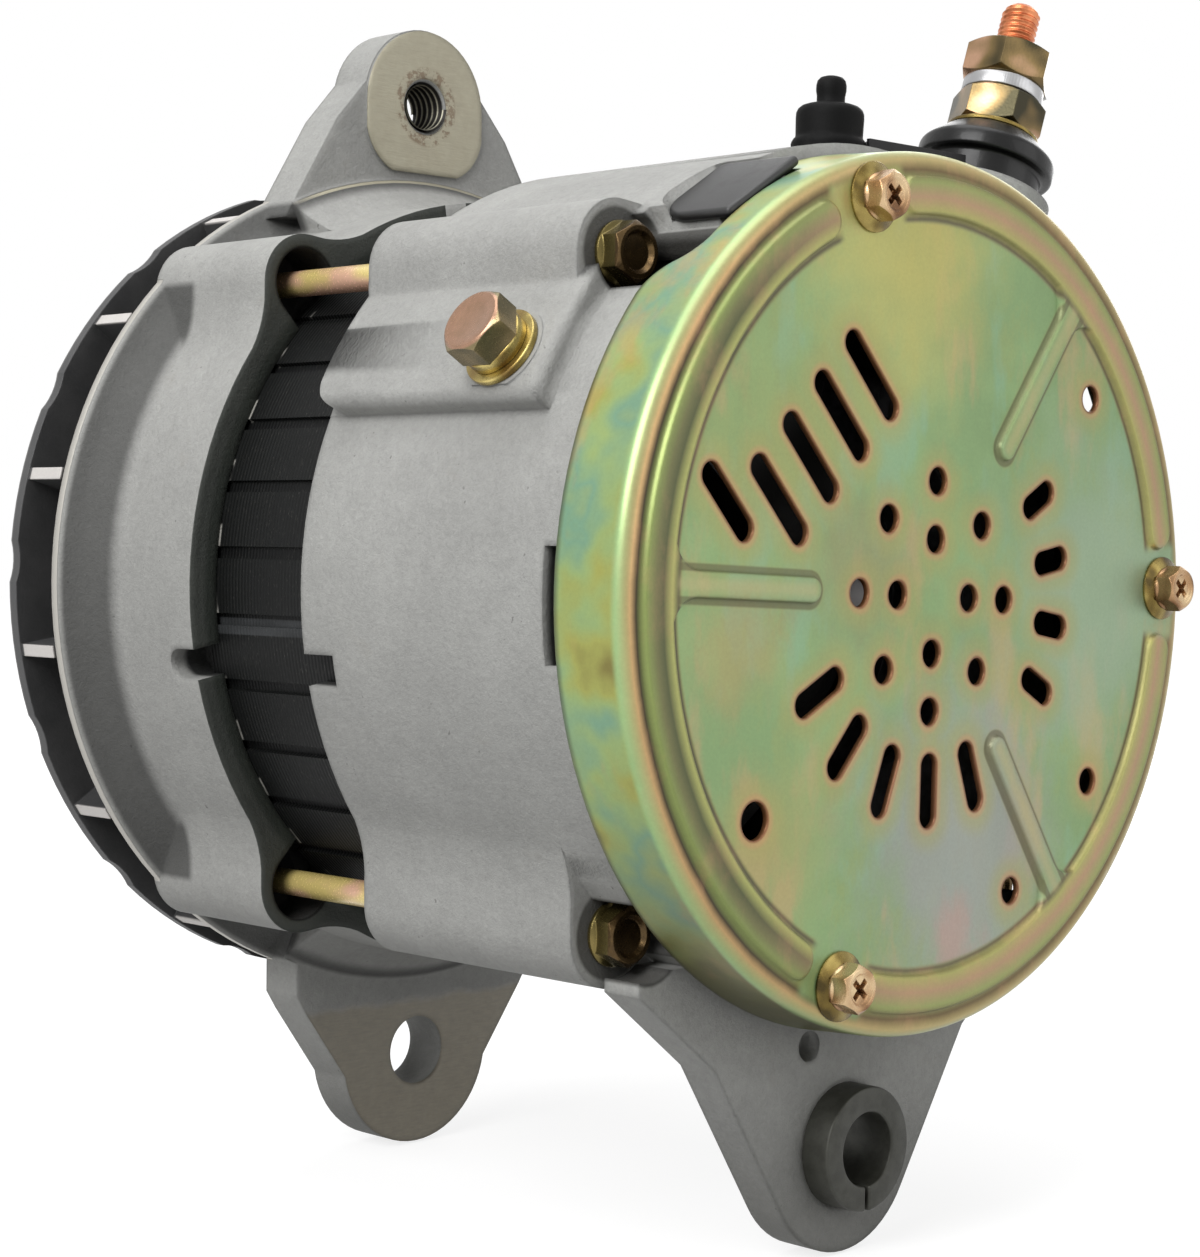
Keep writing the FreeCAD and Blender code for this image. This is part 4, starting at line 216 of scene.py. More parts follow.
def tone(red, green, blue):
    """Linear colour from the 0 to 255 steps of a colour picker."""
    levels = (red / 255, green / 255, blue / 255)
    return tuple(x / 12.92 if x <= 0.04045 else ((x + 0.055) / 1.055) ** 2.4 for x in levels)


def spot(x, y, z):
    """A place given in millimetres."""
    return Vector((x, y, z)) * MM


def on_stud():
    """Where the output stud's line is measured from."""
    return spot(OUTPUT_POINT[0], TERMINAL_STATION, OUTPUT_POINT[1])


def standing(angle):
    """Turn from Z to a direction round the shaft."""
    return (0.0, math.radians(90 - angle), 0.0)


def facing_back():
    """Turn from Z to the back of the alternator."""
    return (math.radians(90), 0.0, 0.0)


def on_ring(radius, angle, station):
    """A place round the shaft."""
    turn = math.radians(angle)
    return spot(radius * math.cos(turn), station, radius * math.sin(turn))


# Settings that a user would change


def colour(name, description, default):
    """A colour setting."""
    return FloatVectorProperty(
        name=name, description=description, subtype="COLOR", size=3, min=0.0, max=1.0, default=default
    )


def length(name, description, default, low, high):
    """A length setting, its values given in millimetres."""
    return FloatProperty(
        name=name, description=description, default=default * MM, min=low * MM, max=high * MM,
        subtype="DISTANCE", unit="LENGTH", precision=4,
    )


def power(name, description, default):
    """The setting of a lamp's power."""
    return FloatProperty(name=name, description=description, default=default, min=0.0, unit="POWER")


class AlternatorSizes(PropertyGroup):
    """Sizes of the small pieces and of the soft edges."""

    pad_edge: length("Pad edge", "Rounding of the pad's lower and back edges", 2.4, 0.5, 4.0)
    pad_corner: length("Pad corner", "Rounding of the pad's corner at the rim", 6.0, 1.0, 10.0)
    bush_edge: length("Bush edge", "Rounding of the split bush", 0.5, 0.1, 1.0)
    flap_edge: length("Flap edge", "Rounding of the rubber flap", 0.9, 0.1, 1.2)
    insulator_edge: length("Insulator edge", "Rounding of the output stud's insulator", 0.7, 0.1, 1.0)
    base_edge: length("Base edge", "Rounding of the terminal base", 0.6, 0.1, 1.0)
    thread_depth: length("Thread depth", "Depth of the stud's and the ear's threads", 0.5, 0.2, 0.6)
    stud_pitch: length("Stud pitch", "Pitch of the output stud's thread", 1.25, 1.0, 1.5)
    nut_flats: length("Nut flats", "Width across flats of the stud's nuts", 17.0, 13.0, 19.0)
    bolt_flats: length("Bolt flats", "Width across flats of the through bolts", 10.0, 9.0, 10.5)
    screw_flats: length("Screw flats", "Width across flats of the cover's screws", 8.0, 7.5, 8.5)
    cross_length: length("Cross", "Length of the cross in the cover's screws", 5.4, 3.0, 6.0)
    ground_flats: length("Ground flats", "Width across flats of the ground bolt", 12.0, 10.0, 13.0)


class AlternatorColours(PropertyGroup):
    """Colours of the finishes."""

    casting: colour("Casting", "Cast aluminium of both casings", tone(158, 158, 155))
    machined: colour("Machined", "Faces cut after casting", tone(166, 162, 144))
    cover_green: colour("Cover green", "Main tint of the plated cover", tone(142, 172, 118))
    cover_yellow: colour("Cover yellow", "Yellow patches of the plated cover", tone(200, 186, 104))
    cover_pink: colour("Cover pink", "Pink streaks on the plated cover's ring", tone(196, 140, 112))
    cover_lavender: colour("Cover grey", "Greyish patches of the plated cover", tone(158, 158, 156))
    zinc: colour("Yellow zinc", "Bolts and washers", tone(156, 138, 80))
    copper: colour("Copper", "Output stud", tone(216, 140, 98))
    core: colour("Core", "Varnished laminations", tone(17, 18, 17))
    rubber: colour("Rubber", "Cap of the signal terminal", tone(8, 8, 8))


class AlternatorStudio(PropertyGroup):
    """Camera, floor and lamps."""

    lens: FloatProperty(
        name="Lens", description="Focal length on a 36 mm frame", default=76.46, min=20.0,
        unit="CAMERA",
    )
    camera_place: FloatVectorProperty(
        name="Camera", description="Where the camera stands", size=3, subtype="TRANSLATION",
        unit="LENGTH", default=(-0.39217, -0.48306, 0.01096),
    )
    floor_gap: length("Floor gap", "Floor below the lowest point", 0.5, 0.0, 50.0)
    key_power: power("Key lamp", "Lamp on the camera's left", 17.0)
    fill_power: power("Fill lamp", "Lamp on the camera's right", 3.0)
    side_power: power("Side lamp", "Lamp behind the object on the right", 6.0)
    top_power: power("Top lamp", "Lamp over the object", 10.0)


# Materials


class Wire:
    """A value or vector in a material. Arithmetic on it adds Math nodes."""

    def __init__(self, graph, socket):
        self.graph = graph
        self.socket = socket

    def math(self, operation, *others):
        """This value and others through a Math node."""
        values = dict(enumerate((self, *others)))
        return self.graph.node("ShaderNodeMath", {"operation": operation}, values)

    def __add__(self, other):
        return self.math("ADD", other)

    __radd__ = __add__

    def __sub__(self, other):
        return self.math("SUBTRACT", other)

    def __rsub__(self, other):
        return self.graph.node("ShaderNodeMath", {"operation": "SUBTRACT"}, {0: other, 1: self})

    def __mul__(self, other):
        return self.math("MULTIPLY", other)

    __rmul__ = __mul__

    def __truediv__(self, other):
        return self.math("DIVIDE", other)

    def __abs__(self):
        return self.math("ABSOLUTE")

    def least(self, other):
        """The smaller of the two."""
        return self.math("MINIMUM", other)

    def most(self, other):
        """The larger of the two."""
        return self.math("MAXIMUM", other)

    def fade(self, start, end):
        """0 at start, 1 at end, smooth between. Start may be the larger."""
        return self.graph.node(
            "ShaderNodeMapRange", {"interpolation_type": "SMOOTHSTEP"}, {0: self, 1: start, 2: end}
        )

    def between(self, low, high, soft):
        """1 from low to high, falling to 0 within soft outside."""
        return self.fade(low - soft, low) * self.fade(high + soft, high)


class Nodes:
    """The nodes of a material or of the world."""

    def __init__(self, owner):
        owner.use_nodes = True
        self.tree = owner.node_tree
        self.tree.nodes.clear()

    def node(self, kind, settings=None, values=None, output=0):
        """Any node: its settings first, then the values or links of its sockets."""
        made = self.tree.nodes.new(kind)
        for key, value in (settings or {}).items():
            if key == "stops":
                self.set_stops(made.color_ramp.elements, value)
            else:
                setattr(made, key, value)
        for key, value in (values or {}).items():
            if isinstance(value, Wire):
                self.tree.links.new(value.socket, made.inputs[key])
            else:
                made.inputs[key].default_value = value
        return Wire(self, made.outputs[output])

    def set_stops(self, elements, stops):
        """Places and colours of a ramp's stops."""
        elements[0].color = (*stops[0][1], 1.0)
        elements[1].color = (*stops[-1][1], 1.0)
        for place, shade in stops[1:-1]:
            elements.new(place).color = (*shade, 1.0)

    def seen(self):
        """1 for what the camera sees, also in a mirror or through glass."""
        kinds = ("Is Camera Ray", "Is Glossy Ray", "Is Transmission Ray")
        camera, glossy, clear = (self.node("ShaderNodeLightPath", output=kind) for kind in kinds)
        return camera.most(glossy).most(clear)

    def send(self, kind, surface):
        """Joins a surface or a background to its output."""
        made = self.tree.nodes.new(kind)
        self.tree.links.new(surface.socket, made.inputs["Surface"])


class Graph(Nodes):
    """The nodes of one new material, on object coordinates in millimetres."""

    def __init__(self, name):
        self.material = bpy.data.materials.new(name)
        super().__init__(self.material)
        metres = self.node("ShaderNodeTexCoord", output="Object")
        scale = {"operation": "SCALE"}
        self.point = self.node("ShaderNodeVectorMath", scale, {0: metres, "Scale": 1 / MM})
        self.x, self.y, self.z = (
            self.node("ShaderNodeSeparateXYZ", None, {0: self.point}, axis) for axis in "XYZ"
        )

    def noise(self, size, detail=2.0, roughness=0.5, stretch=None):
        """Cloudy values from 0 to 1. Size is the patches' size in millimetres."""
        place = self.point
        if stretch:
            place = self.node("ShaderNodeVectorMath", {"operation": "MULTIPLY"}, {0: place, 1: stretch})
        values = {"Vector": place, "Scale": 1 / size, "Detail": detail, "Roughness": roughness}
        return self.node("ShaderNodeTexNoise", None, values)

    def mix(self, share, first, second):
        """Two colours mixed. The numbered sockets are the node's colour ones."""
        first, second = (c if isinstance(c, Wire) else (*c, 1.0) for c in (first, second))
        values = {0: share, 6: first, 7: second}
        return self.node("ShaderNodeMix", {"data_type": "RGBA"}, values, output=2)

    def layer(self, base, *rows):
        """A base with rows of (share, colour) laid over it."""
        for share, shade in rows:
            base = self.mix(share, base, shade)
        return base

    def ramp(self, value, stops):
        """A colour that follows a value through stops of (value, colour)."""
        low, high = stops[0][0], stops[-1][0]
        stops = [((place - low) / (high - low), shade) for place, shade in stops]
        return self.node("ShaderNodeValToRGB", {"stops": stops}, {0: (value - low) / (high - low)})

    def shade(self, colour, share):
        """A colour made darker or lighter by a factor."""
        return self.node("ShaderNodeVectorMath", {"operation": "SCALE"}, {0: colour, 3: share})

    def round_edges(self, radius):
        """Normal with edges rounded by a radius in millimetres."""
        return self.node("ShaderNodeBevel", {"samples": 6}, {"Radius": radius * MM})

    def bump(self, height, depth, normal=None):
        """Normal from a height of 0 to 1. Depth is in millimetres."""
        values = {"Height": height, "Distance": depth * MM, "Strength": 1.0}
        if normal:
            values["Normal"] = normal
        return self.node("ShaderNodeBump", None, values)

    def done(self, colour, roughness, metallic=0.0, normal=None, **fixed):
        """Joins everything to the surface and returns the material."""
        values = {"Base Color": colour, "Roughness": roughness, "Metallic": metallic}
        values.update({key.replace("_", " "): value for key, value in fixed.items()})
        if normal:
            values["Normal"] = normal
        self.send("ShaderNodeOutputMaterial", self.node("ShaderNodeBsdfPrincipled", None, values))
        return self.material


def reach_of(x, z):
    """Distance of a place from where both coordinates are 0."""
    return (x * x + z * z).math("SQRT")


def angle_of(x, z):
    """Angle of a place in degrees."""
    return z.math("ARCTAN2", x) * math.degrees(1)


def nearest_of(distances):
    """The smallest of several distances."""
    nearest, *others = distances
    for distance in others:
        nearest = nearest.least(distance)
    return nearest


def turned(x, z, angle):
    """Coordinates in axes turned by an angle in degrees."""
    c, s = math.cos(math.radians(angle)), math.sin(math.radians(angle))
    return x * c + z * s, z * c - x * s


def folded(value, start, pitch, count):
    """A coordinate measured from the nearest of a row of places."""
    steps = ((value - start) / pitch).math("ROUND").most(0.0).least(count - 1.0)
    return value - start - steps * pitch


def wrapped(angle, middle):
    """An angle's distance from a middle, in degrees, from 0 to 180."""
    return abs((angle - middle + 540.0).math("FLOORED_MODULO", 360.0) - 180.0)


def slot_middle(u, v, half):
    """Distance from a line that runs a half length both ways along u."""
    return reach_of((abs(u) - half).most(0.0), v)


def slot_edge(u, v, long):
    """Distance outside a slot that lies along u."""
    return slot_middle(u, v, (long - SLOT_WIDTH) / 2) - SLOT_WIDTH / 2


def hole_edge(u, v, radius):
    """Distance outside a round hole."""
    return reach_of(u, v) - radius


def opening_edges(x, z, reach, angle):
    """Distances outside the cover's holes and slots, row by row."""
    for ring, start in HOLE_RINGS:
        turn = wrapped(angle * HOLES_IN_RING, start * HOLES_IN_RING) / HOLES_IN_RING * math.radians(1)
        yield hole_edge(reach - ring, turn * reach, SMALL_HOLE)
    for ring, long, start, pitch, count in (SIDE_SLOTS, LOWER_SLOTS):
        turn = folded(angle, start, pitch, count) * math.radians(1)
        yield slot_edge(reach - ring, turn * reach, long)
    for direction, radius in EDGE_HOLES:
        u, v = turned(x, z, direction)
        yield hole_edge(u - EDGE_RING, v, radius)
    u, v = turned(x, z, SLANT)
    first_u, first_v = turned(*SLANT_FIRST, SLANT)
    row = folded(v, first_v - (SLANT_COUNT - 1) * SLANT_PITCH, SLANT_PITCH, SLANT_COUNT)
    yield slot_edge(u - first_u, row, SLANT_LENGTH)
    lone_u, lone_v = turned(*LONE_SLOT, SLANT)
    yield slot_edge(u - lone_u, v - lone_v, LONE_LENGTH)


def spoke_middle(x, z):
    """Distance from the middle line of the nearest straight bead."""
    middle = (BEAD_RING + SPOKE_INNER) / 2 + SPOKE_WIDTH / 4
    half = (BEAD_RING - SPOKE_INNER) / 2 - SPOKE_WIDTH / 4
    sides = (turned(x, z, direction) for direction in SPOKES)
    return nearest_of(slot_middle(u - middle, v, half) for u, v in sides)


def on_bead_arc(angle):
    """1 where the ring's bead runs, 0 at its three gaps."""
    gaps = []
    for low, high in BEAD_ARCS:
        half = (high - low) / 2
        gaps.append(wrapped(angle, (low + high) / 2).fade(half + 1.5, half + 3.5))
    return 1 - nearest_of(gaps)


def bolt_distance(x, z):
    """Distance from the middle of the nearest through bolt."""
    sides = (turned(x, z, angle) for angle in BOLT_ANGLES)
    return nearest_of(reach_of(u - BOLT_RING, v) for u, v in sides)


# Finishes. Their numbers are millimetres where they give the size of a noise's patches, or the places
# where a tone starts and ends. The others are shares from 0 to 1, and the angles are degrees.


def cast_aluminium(colours):
    """Grainy cast aluminium and cut faces at the ear and the lugs, with painted shade in its hollows,
    inside, on the front rim, in the bolt pockets, seats and ear hole, and darker towards the bottom.
    """
    g = Graph("cast_aluminium")
    reach = reach_of(g.x, g.z)
    grain = g.noise(0.9, 4.0, 0.8)
    speckle = g.noise(2.2, 3.0, 0.7)
    blotch = g.noise(8.0, 5.0, 0.65)
    wide = g.noise(34.0, 2.0)
    base = g.mix(wide.fade(0.3, 0.7), tuple(c * 0.9 for c in colours.casting), tuple(colours.casting))
    base = g.shade(base, 0.52 + grain * 0.42 + speckle * 0.26 + blotch * 0.26)
    pits = g.noise(1.3, 2.0).fade(0.7, 0.76) * blotch.fade(0.48, 0.6)
    stain = g.noise(16.0, 4.0, 0.7).fade(0.6, 0.8)
    base = g.layer(base, (pits * 0.6, tone(92, 90, 88)), (stain * 0.4, tone(128, 124, 116)))
    # Painted shade in the hollow band behind the front flange's lip.
    hollow_shade = reach.between(83.0, 88.4, 1.2) * g.y.between(-28.5, LIP_BACK - 1.2, 2.5)
    # Painted shade, darker towards the bottom of the lugs.
    low = g.z.fade(-90.0, -124.0)
    # Painted shade on the casings' inner walls.
    inside = reach.fade(79.4, 77.6) * g.y.between(-172.0, -19.0, 0.5)
    # Painted shade on the front casing's rear rim face, in two dark tones.
    rim = g.y.between(FRONT_RIM - 0.2, FRONT_RIM + 0.25, 0.2)
    bolt = bolt_distance(g.x, g.z)
    # Painted shade in the through bolts' pockets in the front casing.
    pocket_shade = bolt.fade(7.9, 7.4) * g.y.between(FRONT_RIM, FRONT_RIM + 12.3, 0.3)
    # Painted shade on the seat round the through bolts' heads.
    seat_shade = bolt.fade(8.9, 8.0) * g.y.fade(BOLT_SEAT + 0.4, BOLT_SEAT + 0.1)
    base = g.layer(
        g.shade(base, 1 - hollow_shade * 0.72),
        (low * 0.5, tone(72, 72, 66)),
        (inside * 0.95, tone(34, 35, 34)),
        (rim * 0.9, g.mix(blotch, tone(30, 35, 31), tone(58, 62, 56))),
        (pocket_shade * 0.9, tone(20, 20, 19)),
        (seat_shade * 0.75, tone(40, 38, 34)),
    )
    lines = g.noise(0.5, 3.0, 0.6, stretch=(0.15, 1.0, 1.0))
    hole = reach_of(g.x, g.z - EAR_HEIGHT)
    ear = g.y.between(EAR_FACE - 0.2, EAR_FACE + 0.25, 0.1) * g.z.fade(80.0, 84.0)
    worn = g.mix(blotch, tuple(colours.machined), tone(150, 144, 126))
    worn = g.shade(worn, 0.84 + lines * 0.1 + speckle * 0.22)
    rust = hole.between(6.4, 8.3, 0.8) * g.noise(1.6, 3.0, 0.7).fade(0.46, 0.58)
    foot = (g.z + g.noise(6.0) * 3.0).fade(-91.5, -94.0)
    lug = g.y.between(LUG_BACK - 0.3, LUG_BACK + 0.1, 0.1) * foot
    milled = g.shade(g.mix(lines, tone(128, 120, 104), tone(100, 97, 88)), 0.8 + speckle * 0.3)
    lip = g.y.fade(LIP_BACK - 0.1, LIP_BACK + 0.1) * reach.between(88.7, 89.7, 0.2)
    base = g.layer(
        base,
        (ear, g.mix(rust * 0.7, worn, tone(112, 92, 74))),
        # Painted shade inside the ear's threaded hole.
        (hole.fade(5.75, 5.45), tone(34, 32, 28)),
        (lug * 0.85, milled),
        (lip, tone(178, 175, 168)),
    )
    cut = ear.most(lug).most(lip)
    rough = 1 - cut
    height = grain * rough * 0.8 + speckle * rough * 0.5 + blotch * 0.5 * rough + lines * cut * 0.25
    normal = g.bump(height, 0.3, g.round_edges(2.0))
    roughness, metallic = 0.62 - cut * 0.2 + grain * 0.1, 0.2 + cut * 0.35
    return g.done(base, roughness, metallic, normal, Specular_IOR_Level=0.3)


def cut_thread(colours):
    """Thread in cast aluminium: light crests, and painted shade in its roots."""
    g = Graph("cut_thread")
    depth = reach_of(g.x, g.z - EAR_HEIGHT)
    fine = g.noise(0.8, 3.0, 0.6)
    crest = g.shade(tuple(colours.machined), 0.6 + fine * 0.5)
    # Painted shade in the thread's roots.
    base = g.mix(depth.fade(5.12, 4.96), tone(26, 24, 21), crest)
    return g.done(base, 0.45, 0.5, g.bump(fine, 0.03), Specular_IOR_Level=0.3)


# Colours across the ring's bead, by distance from the middle: the plating's bands, with painted shade
# as dark lines in the creases at the bead's feet and bend. The deep set also paints shade and a
# reflection as a dark band on the bead's slope.
BEAD_PLATING_FAINT_SHADE = (
    (68.9, tone(150, 150, 108)), (69.9, tone(104, 98, 70)), (71.3, tone(172, 168, 100)),
    (73.9, tone(178, 146, 112)), (76.6, tone(150, 158, 96)), (78.9, tone(110, 92, 56)),
    (80.9, tone(188, 170, 112)), (82.4, tone(150, 164, 110)),
)
BEAD_PLATING_DEEP_SHADE = (
    (68.9, tone(150, 150, 92)), (69.9, tone(84, 80, 58)), (71.5, tone(170, 172, 102)),
    (73.6, tone(84, 88, 56)), (75.4, tone(112, 112, 72)), (77.6, tone(134, 148, 84)),
    (79.0, tone(58, 48, 28)), (80.4, tone(190, 156, 106)), (82.4, tone(150, 184, 126)),
)
SKIRT_BANDS = (
    (0.3, tone(126, 118, 60)), (0.4, tone(158, 160, 84)), (0.48, tone(146, 168, 108)),
    (0.58, tone(118, 156, 128)), (0.72, tone(160, 168, 94)),
)


def plated_cover(colours):
    """Yellow zinc on pressed sheet: green, yellow and grey patches, orange and pink at every edge.
    Painted shade in the beads' creases, on the skirt's lower part and along its edge, a painted
    highlight along the straight beads, and painted shade and reflection on the ring's bead.
    """
    g = Graph("plated_cover")
    x, z = turned(g.x, g.z, PATTERN_TURN)
    reach, angle = reach_of(x, z), angle_of(x, z)
    opening = nearest_of(opening_edges(x, z, reach, angle))
    spoke = spoke_middle(x, z)
    wisps = g.noise(11.0, 5.0, 0.65, stretch=(1.0, 1.0, 0.6))
    drift = g.noise(30.0, 3.0, 0.6)
    fine = g.noise(0.8, 4.0, 0.8)
    streaks = g.noise(15.0, 4.0, 0.6, stretch=(1.0, 1.0, 0.4))
    cloud = (wisps - 0.5) * 34.0 + (drift - 0.5) * 30.0

    def patch(u, w, size, soft, share):
        """A cloudy patch of the face, strongest in its middle."""
        return (reach_of(x - u, z - w) + cloud).fade(size + soft, size - soft) * share

    green, ring_part = tuple(colours.cover_green), reach.fade(77.8, 80.4)
    base = g.layer(
        g.mix(drift.fade(0.4, 0.62), green, g.shade(green, 0.88)),
        (wisps.fade(0.5, 0.64) * 0.4, tone(150, 158, 98)),
        (streaks.fade(0.53, 0.68) * 0.55, tone(196, 164, 122)),
        (streaks.fade(0.46, 0.34) * 0.45, tone(136, 178, 150)),
        (patch(-10.0, 62.0, 20.0, 16.0, 0.7), tuple(colours.cover_yellow)),
        (patch(-46.0, 26.0, 16.0, 14.0, 0.45), tone(150, 154, 92)),
        (patch(52.0, 4.0, 28.0, 18.0, 0.75), tone(156, 176, 150)),
        (patch(10.0, -48.0, 26.0, 16.0, 0.8), tuple(colours.cover_lavender)),
        (patch(-54.0, -14.0, 8.0, 10.0, 0.45), tone(184, 150, 96)),
        (patch(-44.0, -44.0, 12.0, 12.0, 0.55), tone(176, 158, 98)),
        (patch(8.0, -64.0, 4.0, 7.0, 0.5), tone(196, 150, 138)),
        (patch(-20.0, 4.0, 12.0, 12.0, 0.4), tone(160, 134, 100)),
        (opening.fade(6.0, 1.6) * 0.5, tone(164, 160, 98)),
        (opening.fade(1.9, 0.6) * 0.5, tone(196, 146, 104)),
        (opening.fade(0.6, 0.05) * 0.8, tone(128, 74, 46)),
    )
    place = reach + wisps * 0.8
    # The deeper painted shade on the ring's left side, the fainter one elsewhere.
    left = wrapped(angle, 185.0).fade(85.0, 40.0)
    ring = g.mix(left, g.ramp(place, BEAD_PLATING_FAINT_SHADE), g.ramp(place, BEAD_PLATING_DEEP_SHADE))
    ring = g.mix(on_bead_arc(angle), g.mix(ring_part, base, ring), ring)
    ring = g.mix(wisps.fade(0.48, 0.68) * 0.18, ring, tuple(colours.cover_pink))
    side = g.layer(
        g.ramp(g.noise(26.0, 3.0, 0.6) + g.z * 0.0012, SKIRT_BANDS),
        (streaks.fade(0.52, 0.64) * 0.4, tone(190, 150, 100)),
        # Painted shade on the skirt's lower part.
        (g.z.fade(-20.0, -80.0) * 0.75, tone(66, 70, 44)),
    )
    inner = reach.fade(70.4, 69.0)
    base = g.layer(
        base,
        (reach.fade(68.4, 69.4), ring),
        (spoke.fade(4.2, 3.4) * inner * 0.25, tone(164, 162, 104)),
        # Painted shade as dark lines at the straight beads' feet, and a painted highlight along their
        # tops.
        (spoke.between(2.4, 3.3, 0.5) * inner * 0.65, tone(88, 80, 54)),
        (spoke.fade(1.8, 0.2) * inner * 0.4, tone(188, 176, 128)),
        (g.y.fade(COVER_FACE + 1.6, COVER_FACE + 3.2), side),
        # Painted shade along the skirt's edge where it meets the casing.
        (g.y.fade(-159.4, -158.2) * 0.6, tone(62, 62, 44)),
    )
    base = g.shade(base, 0.72 + fine * 0.26 + wisps * 0.18)
    normal = g.bump(g.noise(26.0, 1.0) * 0.6 + fine * 0.03, 0.6, g.round_edges(0.9))
    return g.done(base, 0.3 + wisps * 0.12, 0.5, normal)


def worn_metal(name, light, dark, roughness, metallic):
    """Metal with two tones in patches, fine grain and rounded edges."""
    g = Graph(name)
    patches = g.noise(3.0, 3.0, 0.6)
    fine = g.noise(0.25, 2.0, 0.6)
    base = g.shade(g.mix(patches.fade(0.35, 0.68), light, dark), 0.9 + fine * 0.2)
    normal = g.bump(fine, 0.03, g.round_edges(0.25))
    return g.done(base, roughness + patches * 0.12, metallic, normal)


def varnished_core(colours):
    """Black varnish over thin sheets, upright ribs, bright nicks, and painted light in dashes along the
    front edge.
    """
    g = Graph("varnished_core")
    angle = angle_of(g.x, g.z)
    sheets = g.y.math("PINGPONG", 0.5) * 2.0
    ribs = wrapped(angle * CORE_RIBS, 180.0) / 180.0
    blotch = g.noise(3.0, 4.0, 0.65)
    nick = g.noise(0.9, 2.0, 0.5, stretch=(1.0, 3.0, 1.0)).fade(0.64, 0.7)
    edge = g.y.between(CORE_FRONT - 3.9, CORE_FRONT - 3.4, 0.2)
    # Painted light: bright dashes along the front edge, one per rib, where the core meets the front
    # casing.
    painted_edge_light = wrapped(angle * CORE_RIBS, 90.0).fade(70.0, 50.0) * edge * g.noise(7.0, 2.0).fade(0.45, 0.6)
    bar = wrapped(angle, 186.0).between(0.0, 1.1, 0.2) * g.noise(4.0, 2.0, 0.5, stretch=(1.0, 0.3, 1.0))
    base = g.layer(
        g.shade(g.mix(blotch, tuple(colours.core), tone(24, 25, 25)), 0.6 + sheets * 0.35),
        (ribs.fade(0.16, 0.04) * 0.6, tone(7, 7, 8)),
        (nick * 0.3, tone(90, 88, 84)),
        (painted_edge_light, tone(146, 144, 138)),
        (bar * 0.6, tone(84, 86, 88)),
    )
    normal = g.bump(sheets + blotch * 0.5, 0.08)
    return g.done(base, 0.46 - nick * 0.15, nick * 0.5, normal, Specular_IOR_Level=0.12)


def wound_wire(name, light, dark):
    """Varnished wire laid side by side."""
    g = Graph(name)
    strands = (reach_of(g.x, g.z) + g.noise(2.5, 1.0) * 1.5).math("PINGPONG", 0.5) * 2.0
    base = g.shade(g.mix(g.noise(4.0, 2.0), light, dark), 0.55 + strands * 0.5)
    return g.done(base, 0.35, 0.3, g.bump(strands, 0.25))


def fan_paint():
    """Grey sheet steel: bright outer edges of the blades and a dark disc."""
    g = Graph("fan_sheet")
    reach = reach_of(g.x, g.z)
    edge = reach.fade(88.0, 88.5) * g.y.fade(FAN_BACK - 0.3, FAN_BACK - 0.8)
    fine = g.noise(0.6, 3.0, 0.7)
    blotch = g.noise(7.0, 4.0, 0.65)
    rings = (reach + blotch * 1.5).math("PINGPONG", 3.0) / 3.0
    face = g.layer(
        g.shade(g.mix(blotch, tone(104, 104, 105), tone(84, 84, 86)), 0.92 + rings * 0.08),
        (reach.between(12.0, 19.0, 0.6), tone(176, 175, 172)),
        (reach.fade(80.0, 88.0) * 0.4, tone(132, 131, 129)),
    )
    base = g.layer(
        g.mix(blotch, tone(60, 61, 62), tone(84, 83, 83)),
        (edge, tone(200, 196, 192)),
        (g.y.fade(-0.5, -0.2), face),
    )
    base = g.shade(base, 0.84 + fine * 0.16 + blotch * 0.12)
    return g.done(base, 0.46 + blotch * 0.14, 0.35, g.bump(fine, 0.05, g.round_edges(0.4)))


def facet_zinc(name, tones, patch, roughness=0.2, end=None, mark=None, rod=None):
    """Bright zinc whose tone changes from facet to facet.

    end gives the share of the head's end, which mark's two tones cover. rod gives the share of the
    rod, which is duller, yellow and pink.
    """
    g = Graph(name)
    broad = g.noise(patch, 1.0, 0.5)
    fine = g.noise(0.5, 3.0, 0.65)
    step = 0.36 / (len(tones) - 1)
    base = g.ramp(broad, [(0.32 + step * k, shade) for k, shade in enumerate(tones)])
    metallic = 0.8
    if end:
        base = g.mix(end(g), base, g.mix(g.noise(1.6, 3.0), *mark))
    if rod:
        long = g.noise(9.0, 2.0, stretch=(1.0, 0.5, 1.0)).fade(0.4, 0.6)
        base = g.mix(rod(g), base, g.mix(long, tone(226, 204, 128), tone(236, 188, 160)))
        metallic = 0.8 - rod(g) * 0.5
    base = g.shade(base, 0.86 + fine * 0.26)
    return g.done(base, roughness + fine * 0.12, metallic, g.bump(fine, 0.025, g.round_edges(0.3)))


def moulded(name, shade_of, roughness, grain, coat=0.0, gloss=0.22):
    """Black plastic or rubber with a fine skin and faint dust."""
    g = Graph(name)
    fine = g.noise(grain, 3.0, 0.6)
    dust = g.noise(6.0, 4.0, 0.6).fade(0.5, 0.8)
    base = g.shade(g.mix(dust * 0.25, shade_of, tone(62, 61, 60)), 0.85 + fine * 0.3)
    normal, rough = g.bump(fine, 0.05, g.round_edges(0.3)), roughness + dust * 0.12
    return g.done(base, rough, 0.0, normal, Coat_Weight=coat, Specular_IOR_Level=gloss)


def turned_metal(name, light, dark, roughness):
    """Steel turned on a lathe, with fine rings along the shaft."""
    g = Graph(name)
    rings = g.y.math("PINGPONG", 0.18) / 0.18
    patches = g.noise(5.0, 3.0, 0.6)
    base = g.shade(g.mix(patches, light, dark), 0.92 + rings * 0.08)
    return g.done(base, roughness + patches * 0.1, 1.0, g.bump(rings, 0.015, g.round_edges(0.3)))


